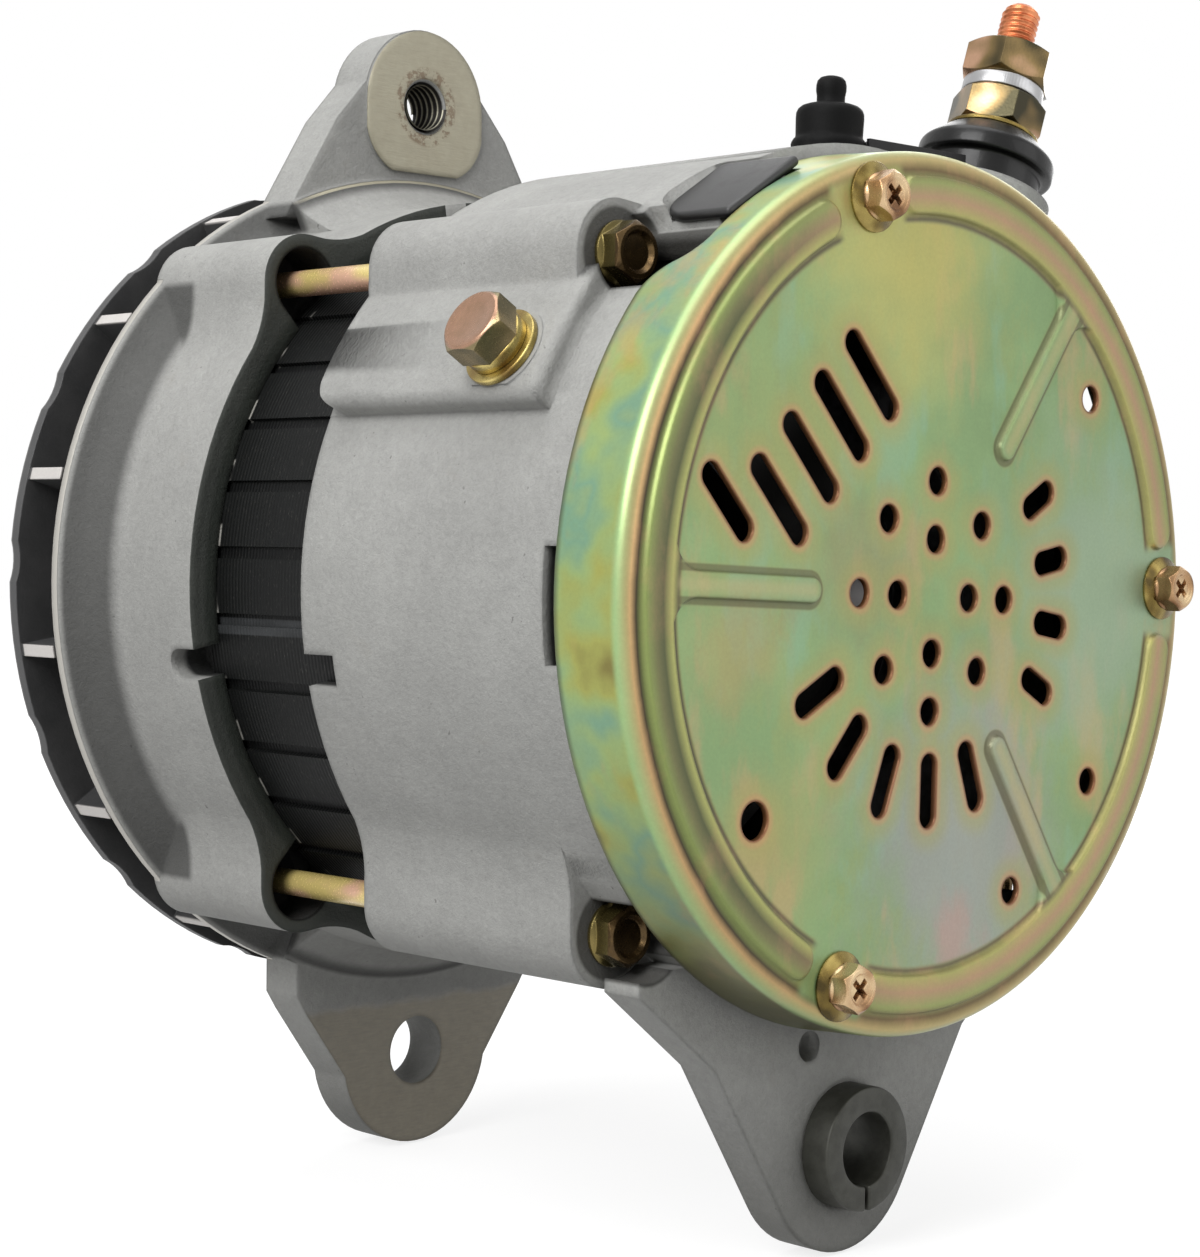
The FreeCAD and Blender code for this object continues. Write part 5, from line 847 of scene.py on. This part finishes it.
def ground_end(g):
    """1 on the end face of the ground bolt's head."""
    turn = math.radians(GROUND_ANGLE)
    along = g.x * math.cos(turn) + g.z * math.sin(turn)
    return along.fade(GROUND_HEAD + 5.0, GROUND_HEAD + 5.3)


def bolt_hollow(g):
    """1 in the hollow of the through bolts' heads."""
    return g.y.fade(BOLT_SEAT - 4.3, BOLT_SEAT - 4.6)


def bolt_rod(g):
    """1 on the through bolts' rods."""
    return g.y.fade(BOLT_SEAT + 1.0, BOLT_SEAT + 2.0)


FINISHES = {}


def build_finishes(colours):
    """Makes every material once."""
    zinc = tuple(colours.zinc)
    bolts = (tone(78, 70, 38), tone(112, 99, 57), tone(152, 134, 82))
    washers = (tone(72, 60, 30), tone(112, 94, 46), tone(152, 134, 76))
    screws = (tone(116, 82, 54), tone(178, 142, 104), tone(212, 186, 146))
    ground = (tone(84, 86, 62), tone(124, 112, 82), tone(170, 150, 112))
    nuts = (tone(58, 54, 36), tone(122, 102, 66), tone(184, 146, 118))
    brown, pink = (tone(104, 82, 48), tone(56, 44, 30)), (tone(172, 134, 112), tone(142, 112, 88))
    copper = tuple(colours.copper)
    FINISHES.update(
        cast_casing=cast_aluminium(colours),
        cut_thread=cut_thread(colours),
        plated_sheet=plated_cover(colours),
        plated_steel=facet_zinc("yellow_zinc", (tone(128, 104, 56), zinc, tone(206, 186, 118)), 5.0),
        bolt_zinc=facet_zinc("bolt_zinc", bolts, 12.0, end=bolt_hollow, mark=brown, rod=bolt_rod),
        washer_zinc=facet_zinc("washer_zinc", washers, 4.0),
        screw_zinc=facet_zinc("screw_zinc", screws, 6.0),
        ground_zinc=facet_zinc("ground_zinc", ground, 7.0, end=ground_end, mark=pink),
        plated_nut=facet_zinc("nut_zinc", nuts, 8.0, 0.14),
        dark_steel=worn_metal("oiled_steel", tone(62, 62, 56), tone(50, 50, 44), 0.42, 0.4),
        core_laminations=varnished_core(colours),
        copper_winding=wound_wire("wound_copper", tone(150, 86, 48), tone(96, 50, 30)),
        bearing_steel=turned_metal("ground_steel", tone(200, 200, 200), tone(178, 178, 180), 0.16),
        plain_steel=turned_metal("turned_steel", tone(190, 190, 190), tone(150, 150, 152), 0.26),
        claw_steel=worn_metal("forged_steel", tone(112, 112, 114), tone(84, 82, 82), 0.5, 0.7),
        copper_stud=worn_metal("bright_copper", copper, tone(176, 98, 62), 0.26, 0.9),
        fan_steel=fan_paint(),
        black_plastic=moulded("moulded_black", tone(17, 17, 18), 0.42, 0.5),
        carbon=moulded("carbon_block", tone(44, 44, 45), 0.55, 0.3),
        plate_aluminium=worn_metal("dull_aluminium", tone(74, 74, 76), tone(52, 52, 54), 0.4, 0.6),
        gloss_insulator=moulded("gloss_black", tone(8, 8, 8), 0.34, 1.2, coat=0.1, gloss=0.25),
        black_rubber=moulded("black_rubber", tone(30, 30, 30), 0.42, 0.35, gloss=0.5),
        cap_rubber=moulded("cap_rubber", tuple(colours.rubber), 0.6, 0.35, gloss=0.1),
    )


def node_slots():
    """The material slot of every CAD node."""
    return {row["node"]: row["material_slot"] for row in frame["record"]["subparts"]}


def dress(*nodes):
    """Gives CAD nodes the materials that their slots name."""
    slots = node_slots()
    for node in nodes:
        mesh = frame["nodes"][node].data
        mesh.materials.clear()
        mesh.materials.append(FINISHES[slots[node]])


# Modelling. Every piece is made standing on Z round its own axis, then turned and moved into place.
# Lengths given to these functions are millimetres, and only place() takes its place in metres.


def size_of(name):
    """A size from the sidebar, in millimetres."""
    return getattr(bpy.context.scene.alternator_sizes, name) / MM


def start_fresh():
    """Leaves edit mode and selects nothing."""
    if bpy.context.object and bpy.context.object.mode != "OBJECT":
        bpy.ops.object.mode_set(mode="OBJECT")
    bpy.ops.object.select_all(action="DESELECT")


def select_only(made):
    """Makes one object the selected and active one."""
    start_fresh()
    made.select_set(True)
    bpy.context.view_layer.objects.active = made


def settle(made, name):
    """Names a new object and moves its place into its mesh."""
    made.name = name
    made.data.name = name
    bpy.ops.object.transform_apply(location=True, rotation=True, scale=True)
    return made


def cylinder(name, radius, height, sides=64, low=0.0):
    """A cylinder standing on Z from a low end."""
    start_fresh()
    bpy.ops.mesh.primitive_cylinder_add(
        vertices=sides, radius=radius * MM, depth=height * MM, location=(0, 0, (low + height / 2) * MM)
    )
    return settle(bpy.context.object, name)


def pick(made, kind, wanted):
    """Enters edit mode with the faces or edges selected that pass a test."""
    select_only(made)
    mesh = made.data
    for parts in (mesh.vertices, mesh.edges, mesh.polygons):
        parts.foreach_set("select", [False] * len(parts))
    for part in mesh.polygons if kind == "FACE" else mesh.edges:
        part.select = wanted(part)
    bpy.ops.object.mode_set(mode="EDIT")
    bpy.ops.mesh.select_mode(type=kind)


def pick_end(made, top):
    """Enters edit mode with the upper or lower end selected, and returns its level."""
    side = 1 if top else -1
    level = max(v.co.z * side for v in made.data.vertices)
    pick(made, "FACE", lambda f: f.normal.z * side > 0.9 and abs(f.center.z * side - level) < 0.01 * MM)
    return level * side / MM


def raise_end(made, steps, radius, top=True):
    """Extrudes an end face through steps of (height, radius), outwards from a first radius."""
    level = pick_end(made, top)
    side = 1 if top else -1
    for height, wanted in steps:
        move = {"value": (0, 0, height * side * MM)}
        bpy.ops.mesh.extrude_region_move(TRANSFORM_OT_translate=move)
        level += height * side
        scale = wanted / radius
        bpy.ops.transform.resize(value=(scale, scale, 1), center_override=(0, 0, level * MM))
        radius = wanted
    bpy.ops.object.mode_set(mode="OBJECT")


def turned_piece(name, radius, height, steps, low=0.0, sides=64):
    """A turned piece: a cylinder whose upper end goes on through more steps."""
    made = cylinder(name, radius, height, sides, low)
    raise_end(made, steps, radius)
    return made


def cut_with(made, tool, operation="DIFFERENCE"):
    """Cuts a piece with a tool and removes the tool."""
    select_only(made)
    modifier = made.modifiers.new("Cut", "BOOLEAN")
    modifier.operation = operation
    modifier.solver = "EXACT"
    modifier.object = tool
    bpy.ops.object.modifier_apply(modifier=modifier.name)
    select_only(tool)
    bpy.ops.object.delete()
    select_only(made)


def round_off(made, width, segments, angle):
    """Rounds the sharp edges."""
    select_only(made)
    modifier = made.modifiers.new("Rounding", "BEVEL")
    modifier.width = width * MM
    modifier.segments = segments
    modifier.limit_method = "ANGLE"
    modifier.angle_limit = math.radians(angle)
    modifier.use_clamp_overlap = True
    bpy.ops.object.modifier_apply(modifier=modifier.name)


def smooth(made, angle):
    """Shades smooth below an angle."""
    select_only(made)
    bpy.ops.object.shade_smooth_by_angle(angle=math.radians(angle))


def join_pieces(pieces, name):
    """Joins pieces that belong to one object."""
    start_fresh()
    for piece in pieces:
        piece.select_set(True)
    bpy.context.view_layer.objects.active = pieces[0]
    bpy.ops.object.join()
    made = bpy.context.object
    made.name = name
    made.data.name = name
    return made


def place(made, turn, where):
    """Turns and moves a finished piece, its object left at the origin."""
    select_only(made)
    made.rotation_euler = turn
    made.location = where
    bpy.ops.object.transform_apply(location=True, rotation=True, scale=True)


def set_out(made, spots, name):
    """Copies a finished piece to every spot of (turn, place) and joins the copies."""
    copies = []
    for turn, where in spots:
        select_only(made)
        bpy.ops.object.duplicate(linked=False)
        copy = bpy.context.object
        place(copy, turn, where)
        copies.append(copy)
    select_only(made)
    bpy.ops.object.delete()
    return join_pieces(copies, name)


def finish_piece(made, finish, *nodes, angle=35.0):
    """Shading, finish and body of a new piece, and the CAD nodes whose place it takes."""
    smooth(made, angle)
    made.data.materials.clear()
    made.data.materials.append(FINISHES[finish])
    node_slots()[nodes[0]] if nodes else "cast_casing"
    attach(made, "casing")
    if nodes:
        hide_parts(*nodes)


def hexagon(name, flats, height, chamfer, low=0.0, both=False, dish=None):
    """A hexagon with turned chamfers, above or on both sides, and a round dish if one is given."""
    reach, end = flats / math.sqrt(3) + 0.05, flats * 0.475
    made = cylinder(name, flats / math.sqrt(3), height, 6, low)
    start = low + chamfer if both else low - 1.0
    tool = cylinder("hexagon_tool", reach, low + height - chamfer - start, 64, start)
    steps = [(chamfer, end)]
    if dish:
        radius, depth = dish
        steps += [(0.0, radius), (-depth, radius * 0.82)]
    raise_end(tool, steps, reach)
    if both:
        raise_end(tool, [(chamfer, end)], reach, top=False)
    cut_with(made, tool, "INTERSECT")
    return made


def bore(made, radius, low, high):
    """Bores a piece along its axis."""
    cut_with(made, cylinder("bore_tool", radius, high - low, 48, low))


def cross_recess(made, long, width, depth, top):
    """A cross cut into the upper face, narrower at its bottom."""
    for angle in (45.0, 135.0):
        low, high = (-long / 2, -width / 2, top - depth), (long / 2, width / 2, top + 1.0)
        tool = box("cross_tool", low, high)
        place(tool, (0, 0, math.radians(angle)), spot(0, 0, 0))
        bottom = pick_end(tool, top=False) * MM
        scale = (CROSS_TAPER, CROSS_TAPER, 1.0)
        bpy.ops.transform.resize(value=scale, center_override=(0, 0, bottom))
        bpy.ops.object.mode_set(mode="OBJECT")
        cut_with(made, tool)


def wound_thread(name, radius, depth, pitch, turns, low, inside=False):
    """Thread wound up along Z: one notch of the profile swept by a screw modifier."""
    start_fresh()
    stand = (math.radians(90), math.radians(-90), 0)
    bpy.ops.mesh.primitive_circle_add(vertices=3, radius=MM, fill_type="NOTHING", rotation=stand)
    made = settle(bpy.context.object, name)
    bpy.ops.object.mode_set(mode="EDIT")
    bpy.ops.mesh.select_all(action="SELECT")
    scale = (depth / 1.5, 1, pitch / math.sqrt(3))
    bpy.ops.transform.resize(value=scale, center_override=(0, 0, 0))
    bpy.ops.transform.translate(value=spot(radius - depth / 3, 0, low + pitch / 2))
    bpy.ops.object.mode_set(mode="OBJECT")
    corners, outer = made.data.vertices, (radius - 0.05) * MM
    pick(made, "EDGE", lambda edge: all(corners[k].co.x > outer for k in edge.vertices))
    bpy.ops.mesh.delete(type="EDGE")
    bpy.ops.object.mode_set(mode="OBJECT")
    modifier = made.modifiers.new("Turns", "SCREW")
    modifier.screw_offset = pitch * MM
    modifier.iterations = turns
    modifier.steps = modifier.render_steps = 40
    modifier.use_merge_vertices = True
    modifier.merge_threshold = 0.00001
    bpy.ops.object.modifier_apply(modifier=modifier.name)
    bpy.ops.object.mode_set(mode="EDIT")
    bpy.ops.mesh.select_all(action="SELECT")
    bpy.ops.mesh.remove_doubles(threshold=0.00001)
    bpy.ops.mesh.normals_make_consistent(inside=False)
    bpy.ops.object.mode_set(mode="OBJECT")
    middle = made.data.polygons[len(made.data.polygons) // 2]
    outwards = middle.normal.x * middle.center.x + middle.normal.y * middle.center.y > 0
    if outwards == inside:
        bpy.ops.object.mode_set(mode="EDIT")
        bpy.ops.mesh.flip_normals()
        bpy.ops.object.mode_set(mode="OBJECT")
    return made


def merged_copy(node, name):
    """A CAD node's shape with its facets merged."""
    start_fresh()
    copy = bpy.data.objects.new(name, frame["nodes"][node].data.copy())
    bpy.context.scene.collection.objects.link(copy)
    copy.data.name = name
    select_only(copy)
    bpy.ops.object.mode_set(mode="EDIT")
    bpy.ops.mesh.select_all(action="SELECT")
    bpy.ops.mesh.remove_doubles(threshold=0.000002)
    bpy.ops.mesh.dissolve_limited(angle_limit=math.radians(0.5))
    bpy.ops.object.mode_set(mode="OBJECT")
    return copy


def soften(node, name, width, finish, segments=3, angle=32.0):
    """Replaces a CAD node by a copy of its shape with rounded edges."""
    copy = merged_copy(node, name)
    round_off(copy, width, segments, angle)
    finish_piece(copy, finish, node, angle=40.0)


def even_shading(made):
    """Lets the large faces lead where they meet a rounded edge."""
    select_only(made)
    modifier = made.modifiers.new("Shading", "WEIGHTED_NORMAL")
    modifier.keep_sharp = True
    bpy.ops.object.modifier_apply(modifier=modifier.name)


def bevel_sharp(made, wanted, width, segments):
    """Bevels the sharp edges whose two ends both pass a test, given in millimetres."""
    select_only(made)
    bpy.ops.object.mode_set(mode="EDIT")
    bpy.ops.mesh.select_mode(type="EDGE")
    bpy.ops.mesh.select_all(action="DESELECT")
    bpy.ops.mesh.edges_select_sharp(sharpness=math.radians(40))
    bpy.ops.object.mode_set(mode="OBJECT")
    mesh = made.data
    sharp = {
        edge.index
        for edge in mesh.edges
        if edge.select and all(wanted(mesh.vertices[k].co / MM) for k in edge.vertices)
    }
    pick(made, "EDGE", lambda edge: edge.index in sharp)
    bpy.ops.mesh.bevel(offset=width * MM, segments=segments, affect="EDGES", clamp_overlap=False)
    bpy.ops.object.mode_set(mode="OBJECT")


def box(name, low, high):
    """A box between two corners."""
    start_fresh()
    middle = [(a + b) / 2 * MM for a, b in zip(low, high)]
    bpy.ops.mesh.primitive_cube_add(size=1.0, location=middle)
    made = bpy.context.object
    made.scale = [(b - a) * MM for a, b in zip(low, high)]
    return settle(made, name)


def on_back_edge(point):
    """Whether a point lies on the pad's upper edge beside the bolt."""
    reach = math.hypot(point.x, point.z)
    angle = math.degrees(math.atan2(point.z, point.x))
    return abs(reach - PAD_TOP) < 0.15 and abs(point.y - PAD_BACK) < 0.1 and angle > PAD_ROUNDED


def round_pad(casting, edge, corner):
    """Rounds the pad's edge beside the bolt, its corner at the front rim, and its lower edge."""
    bevel_sharp(casting, on_back_edge, edge, 4)
    low, high, rim = PAD_TOP - PAD_DEPTH, PAD_TOP + 2.0, REAR_RIM + 1.0
    upright = box("pad_tool", (-1.0, REAR_RIM - corner, low), (corner, rim, high))
    kept = cylinder("kept_tool", corner, 12.0, 48, low - 2.0)
    place(kept, (0, 0, 0), spot(corner, REAR_RIM - corner, 0))
    cut_with(upright, kept)
    level = box("pad_tool", (-1.0, PAD_BACK - 2.0, PAD_TOP - edge), (edge, rim, high))
    kept = cylinder("kept_tool", edge, 80.0, 48, 0.0)
    place(kept, facing_back(), spot(edge, REAR_RIM + 5.0, PAD_TOP - edge))
    cut_with(level, kept)
    for tool in (upright, level):
        place(tool, standing(PAD_END), spot(0, 0, 0))
        cut_with(casting, tool)


def clear_bolt_seats(casting):
    """Clears the lug's foot from beside the lower bolts' heads, so that they sit in the open."""
    turn = math.radians(BOLT_ANGLES[1])
    level = BOLT_RING * math.sin(turn) - SEAT_DROP
    back, front = BOLT_SEAT - 16.0, BOLT_SEAT - 0.02
    tool = box("seat_tool", (-SEAT_REACH, back, level), (SEAT_REACH, front, level + 45.0))
    barrel = cylinder("barrel_tool", REAR_BARREL + 0.03, 40.0, 256, 0.0)
    place(barrel, facing_back(), spot(0, BOLT_SEAT + 10.0, 0))
    cut_with(tool, barrel)
    cut_with(casting, tool)
    beside = abs(BOLT_RING * math.cos(turn)) + 2.5
    for left, right in ((-SEAT_REACH, -beside), (beside, SEAT_REACH)):
        cut_with(casting, box("fin_tool", (left, back, level - FIN_DROP), (right, front, level + 1.0)))


# Operators


class ALTERNATOR_OT_finishes(Operator):
    """Make every material"""

    bl_idname = "alternator.finishes"
    bl_label = "Finishes"

    def execute(self, context):
        build_finishes(context.scene.alternator_colours)
        return {"FINISHED"}


class ALTERNATOR_OT_front_casing(Operator):
    """Cast skin of the front casing and the thread in its ear"""

    bl_idname = "alternator.front_casing"
    bl_label = "Front casing"

    def execute(self, context):
        dress("front_housing")
        depth = size_of("thread_depth")
        thread = wound_thread("ear_thread", EAR_THREAD, depth, EAR_PITCH, EAR_TURNS, 0.0, inside=True)
        place(thread, facing_back(), spot(0, FRONT_FACE - EAR_LEAD, EAR_HEIGHT))
        finish_piece(thread, "cut_thread", angle=20.0)
        return {"FINISHED"}


class ALTERNATOR_OT_rear_casing(Operator):
    """Cast skin of the rear casing and the split bush in its lug"""

    bl_idname = "alternator.rear_casing"
    bl_label = "Rear casing"

    def execute(self, context):
        casting = merged_copy("rear_housing", "rear_casting")
        clear_bolt_seats(casting)
        round_pad(casting, size_of("pad_edge"), size_of("pad_corner"))
        finish_piece(casting, "cast_casing", "rear_housing")
        even_shading(casting)
        soften("pivot_bush", "lug_bush", size_of("bush_edge"), "dark_steel")
        return {"FINISHED"}


class ALTERNATOR_OT_rear_cover(Operator):
    """Plate the rear cover and make its cross-recessed screws and dished washers"""

    bl_idname = "alternator.rear_cover"
    bl_label = "Rear cover"

    def execute(self, context):
        dress("rear_cover")
        angles = [angle + PATTERN_TURN for angle in SCREW_ANGLES]
        spots = [(facing_back(), on_ring(SCREW_RING, angle, COVER_FACE)) for angle in angles]
        head = hexagon("screw_head", size_of("screw_flats"), *SCREW_HEAD, dish=SCREW_DISH)
        cross_recess(head, size_of("cross_length"), *CROSS)
        shank = cylinder("screw_shank", *SCREW_SHANK)
        foot = turned_piece("screw_foot", *SCREW_FOOT)
        screws = set_out(join_pieces([head, shank, foot], "screw"), spots, "cross_screws")
        finish_piece(screws, "screw_zinc", "cover_screws")
        washers = set_out(turned_piece("washer", *COVER_WASHER), spots, "dished_washers")
        finish_piece(washers, "washer_zinc", "cover_washers", angle=50.0)
        return {"FINISHED"}


class ALTERNATOR_OT_through_bolts(Operator):
    """Four flanged bolts that hold the casings and the core together"""

    bl_idname = "alternator.through_bolts"
    bl_label = "Through bolts"

    def execute(self, context):
        head = hexagon("bolt_head", size_of("bolt_flats"), *BOLT_HEAD, dish=BOLT_DISH)
        flange = turned_piece("bolt_flange", *BOLT_FLANGE)
        length = BOLT_END - BOLT_SEAT - ROD_TIP[0] - ROD_START
        rod = turned_piece("bolt_rod", ROD_RADIUS, length, [ROD_TIP], ROD_START, 32)
        place(rod, (math.radians(180), 0, 0), spot(0, 0, 2 * ROD_START))
        spots = [(facing_back(), on_ring(BOLT_RING, angle, BOLT_SEAT)) for angle in BOLT_ANGLES]
        bolts = set_out(join_pieces([head, flange, rod], "bolt"), spots, "flanged_bolts")
        finish_piece(bolts, "bolt_zinc", "through_bolts")
        return {"FINISHED"}


class ALTERNATOR_OT_stator(Operator):
    """Varnished core and copper winding heads"""

    bl_idname = "alternator.stator"
    bl_label = "Stator"

    def execute(self, context):
        dress("stator_core", "stator_winding")
        return {"FINISHED"}


class ALTERNATOR_OT_rotor(Operator):
    """Shaft, claws, coil, slip rings and fan, and the bearings that carry them"""

    bl_idname = "alternator.rotor"
    bl_label = "Rotor and bearings"

    def execute(self, context):
        dress("shaft", "fan_collar", "cooling_fan", "front_claw", "rear_claw", "field_coil")
        dress("slip_rings", "slip_ring_sleeve", "bearing_retainer", "retainer_screws")
        for end in ("front", "rear"):
            dress(*(f"{end}_bearing_{piece}" for piece in ("outer", "inner", "balls")))
        return {"FINISHED"}


class ALTERNATOR_OT_electrics(Operator):
    """Brushes, regulator and rectifier behind the cover"""

    bl_idname = "alternator.electrics"
    bl_label = "Electrics"

    def execute(self, context):
        dress("brush_holder", "brushes", "regulator", "rectifier_diodes", "rectifier_pillars")
        dress("rectifier_plate_positive", "rectifier_plate_negative")
        return {"FINISHED"}


class ALTERNATOR_OT_output_terminal(Operator):
    """Threaded copper stud with its insulator, washers and nuts"""

    bl_idname = "alternator.output_terminal"
    bl_label = "Output terminal"

    def execute(self, context):
        turn, where = standing(OUTPUT_ANGLE), on_stud()
        start, pitch = WASHER_TOP - 1.0, size_of("stud_pitch")
        plain = cylinder("stud_blank", STUD_RADIUS, start - STUD_START, 48, STUD_START)
        height = STUD_END - start - STUD_TIP[0]
        core = turned_piece("stud_core", STUD_CORE, height, [STUD_TIP], start, 48)
        turns = int((STUD_END - start - STUD_BARE) / pitch)
        thread = wound_thread("stud_thread", STUD_RADIUS, size_of("thread_depth"), pitch, turns, start)
        stud = join_pieces([plain, core, thread], "threaded_stud")
        place(stud, turn, where)
        finish_piece(stud, "copper_stud", "output_stud", angle=25.0)
        nuts = []
        for level, angle in ((WASHER_TOP, 90.0), (WASHER_TOP + NUT_HEIGHT + SPRING_HEIGHT, 0.0)):
            nut = hexagon("nut", size_of("nut_flats"), NUT_HEIGHT, NUT_CHAMFER, level, both=True)
            bore(nut, NUT_BORE, level - 1.0, level + NUT_HEIGHT + 1.0)
            place(nut, (0, 0, math.radians(angle)), spot(0, 0, 0))
            nuts.append(nut)
        nuts = join_pieces(nuts, "hexagon_nuts")
        place(nuts, turn, where)
        finish_piece(nuts, "plated_nut", "output_nuts", angle=25.0)
        soften("output_spring_washer", "stud_spring", 0.35, "plain_steel")
        soften("output_flat_washer", "stud_washer", 0.2, "washer_zinc")
        edge = size_of("insulator_edge")
        soften("output_insulator", "stud_insulator", edge, "gloss_insulator", 4, 20.0)
        return {"FINISHED"}


class ALTERNATOR_OT_signal_terminal(Operator):
    """Rubber cap with its nipple, the pin under it and the terminal base beside it"""

    bl_idname = "alternator.signal_terminal"
    bl_label = "Signal terminal"

    def execute(self, context):
        dress("signal_terminal")
        cap = turned_piece("ribbed_cap", *CAP_FOOT, CAP_STEPS, PAD_TOP)
        place(cap, standing(SIGNAL_ANGLE), spot(0, TERMINAL_STATION, 0))
        finish_piece(cap, "cap_rubber", "signal_cap", angle=45.0)
        soften("terminal_base", "moulded_base", size_of("base_edge"), "black_plastic")
        return {"FINISHED"}


class ALTERNATOR_OT_ground_bolt(Operator):
    """Ground bolt on the casing with its two washers"""

    bl_idname = "alternator.ground_bolt"
    bl_label = "Ground bolt"

    def execute(self, context):
        head = hexagon("ground_head", size_of("ground_flats"), *GROUND_HEX, dish=GROUND_DISH)
        bolt = join_pieces([head, cylinder("ground_shank", *GROUND_SHANK)], "ground_screw")
        place(bolt, standing(GROUND_ANGLE), spot(0, GROUND_STATION, 0))
        finish_piece(bolt, "ground_zinc", "ground_bolt", angle=25.0)
        soften("ground_spring_washer", "ground_spring", 0.3, "plated_steel")
        soften("ground_flat_washer", "ground_washer", 0.25, "plated_steel")
        return {"FINISHED"}


class ALTERNATOR_OT_rubber_flap(Operator):
    """Soft rubber flap under the cover's edge"""

    bl_idname = "alternator.rubber_flap"
    bl_label = "Rubber flap"

    def execute(self, context):
        soften("rubber_flap", "soft_flap", size_of("flap_edge"), "black_rubber", 4)
        return {"FINISHED"}


class ALTERNATOR_OT_studio(Operator):
    """Set up the camera, floor, backdrop and lamps"""

    bl_idname = "alternator.studio"
    bl_label = "Studio"

    def execute(self, context):
        settings = context.scene.alternator_studio
        self.camera(context, settings)
        self.floor(settings)
        self.lamps(settings)
        self.world(context)
        context.scene.view_settings.view_transform = "Standard"
        return {"FINISHED"}

    def camera(self, context, settings):
        """Camera at the photograph's angle."""
        start_fresh()
        bpy.ops.object.camera_add(location=settings.camera_place)
        made = context.object
        made.name = "studio_camera"
        axes = Matrix((CAMERA_RIGHT, CAMERA_UP, CAMERA_BACK))
        made.rotation_euler = axes.transposed().to_euler()
        made.data.lens = settings.lens
        made.data.sensor_width = FRAME_WIDTH
        made.data.sensor_fit = "AUTO"
        made.data.clip_start = 0.01
        context.scene.camera = made

    def floor(self, settings):
        """Pale floor just under the object, white where no shadow falls."""
        start_fresh()
        low = CAD_BOX[0][2] - settings.floor_gap
        bpy.ops.mesh.primitive_plane_add(size=FLOOR_SIZE, location=(0, 0, low))
        made = settle(bpy.context.object, "studio_floor")
        g = Graph("pale_floor")
        grey = (FLOOR_SHADE, FLOOR_SHADE, FLOOR_SHADE, 1.0)
        plain = g.node("ShaderNodeBsdfDiffuse", None, {"Color": grey})
        far = reach_of(g.x, g.y).fade(GLOW_STARTS, GLOW_ENDS)
        strength = g.seen() * (FLOOR_GLOW + far * FAR_GLOW)
        glow = g.node("ShaderNodeEmission", None, {"Color": WHITE, "Strength": strength})
        g.send("ShaderNodeOutputMaterial", g.node("ShaderNodeAddShader", None, {0: plain, 1: glow}))
        made.data.materials.append(g.material)

    def lamps(self, settings):
        """Four large soft lamps."""
        for name, where, size in LAMPS:
            start_fresh()
            bpy.ops.object.light_add(type="AREA", location=where)
            lamp = bpy.context.object
            lamp.name = name + "_lamp"
            lamp.data.energy = getattr(settings, name + "_power")
            lamp.data.size = size
            towards = Vector(LAMPS_MEET) - Vector(where)
            lamp.rotation_euler = towards.to_track_quat("-Z", "Y").to_euler()

    def world(self, context):
        """Even pale light, white where it is seen."""
        context.scene.world = bpy.data.worlds.new("studio_world")
        g = Nodes(context.scene.world)
        strength = SKY_LIGHT + g.seen() * (1 - SKY_LIGHT)
        sky = g.node("ShaderNodeBackground", None, {"Color": WHITE, "Strength": strength})
        g.send("ShaderNodeOutputWorld", sky)


class ALTERNATOR_PT_panel(Panel):
    """The alternator's steps in the sidebar"""

    bl_idname = "ALTERNATOR_PT_panel"
    bl_label = "Alternator"
    bl_space_type = "VIEW_3D"
    bl_region_type = "UI"
    bl_category = "Alternator"

    def draw(self, context):
        scene = context.scene
        for group in (scene.alternator_sizes, scene.alternator_colours, scene.alternator_studio):
            part = self.layout.box()
            for name in group.__annotations__:
                part.prop(group, name)
        for step in STEPS:
            self.layout.operator(step.bl_idname)


STEPS = (
    ALTERNATOR_OT_finishes,
    ALTERNATOR_OT_front_casing,
    ALTERNATOR_OT_rear_casing,
    ALTERNATOR_OT_rear_cover,
    ALTERNATOR_OT_through_bolts,
    ALTERNATOR_OT_stator,
    ALTERNATOR_OT_rotor,
    ALTERNATOR_OT_electrics,
    ALTERNATOR_OT_output_terminal,
    ALTERNATOR_OT_signal_terminal,
    ALTERNATOR_OT_ground_bolt,
    ALTERNATOR_OT_rubber_flap,
    ALTERNATOR_OT_studio,
)
CLASSES = (AlternatorSizes, AlternatorColours, AlternatorStudio, *STEPS, ALTERNATOR_PT_panel)


def register():
    """Adds the settings, operators and panel."""
    for made in CLASSES:
        bpy.utils.register_class(made)
    bpy.types.Scene.alternator_sizes = PointerProperty(type=AlternatorSizes)
    bpy.types.Scene.alternator_colours = PointerProperty(type=AlternatorColours)
    bpy.types.Scene.alternator_studio = PointerProperty(type=AlternatorStudio)


def unregister():
    """Takes them out again."""
    del bpy.types.Scene.alternator_studio
    del bpy.types.Scene.alternator_colours
    del bpy.types.Scene.alternator_sizes
    for made in reversed(CLASSES):
        bpy.utils.unregister_class(made)


def main():
    """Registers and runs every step."""
    register()
    for step in STEPS:
        group, name = step.bl_idname.split(".")
        getattr(getattr(bpy.ops, group), name)()


if __name__ == "__main__":
    main()
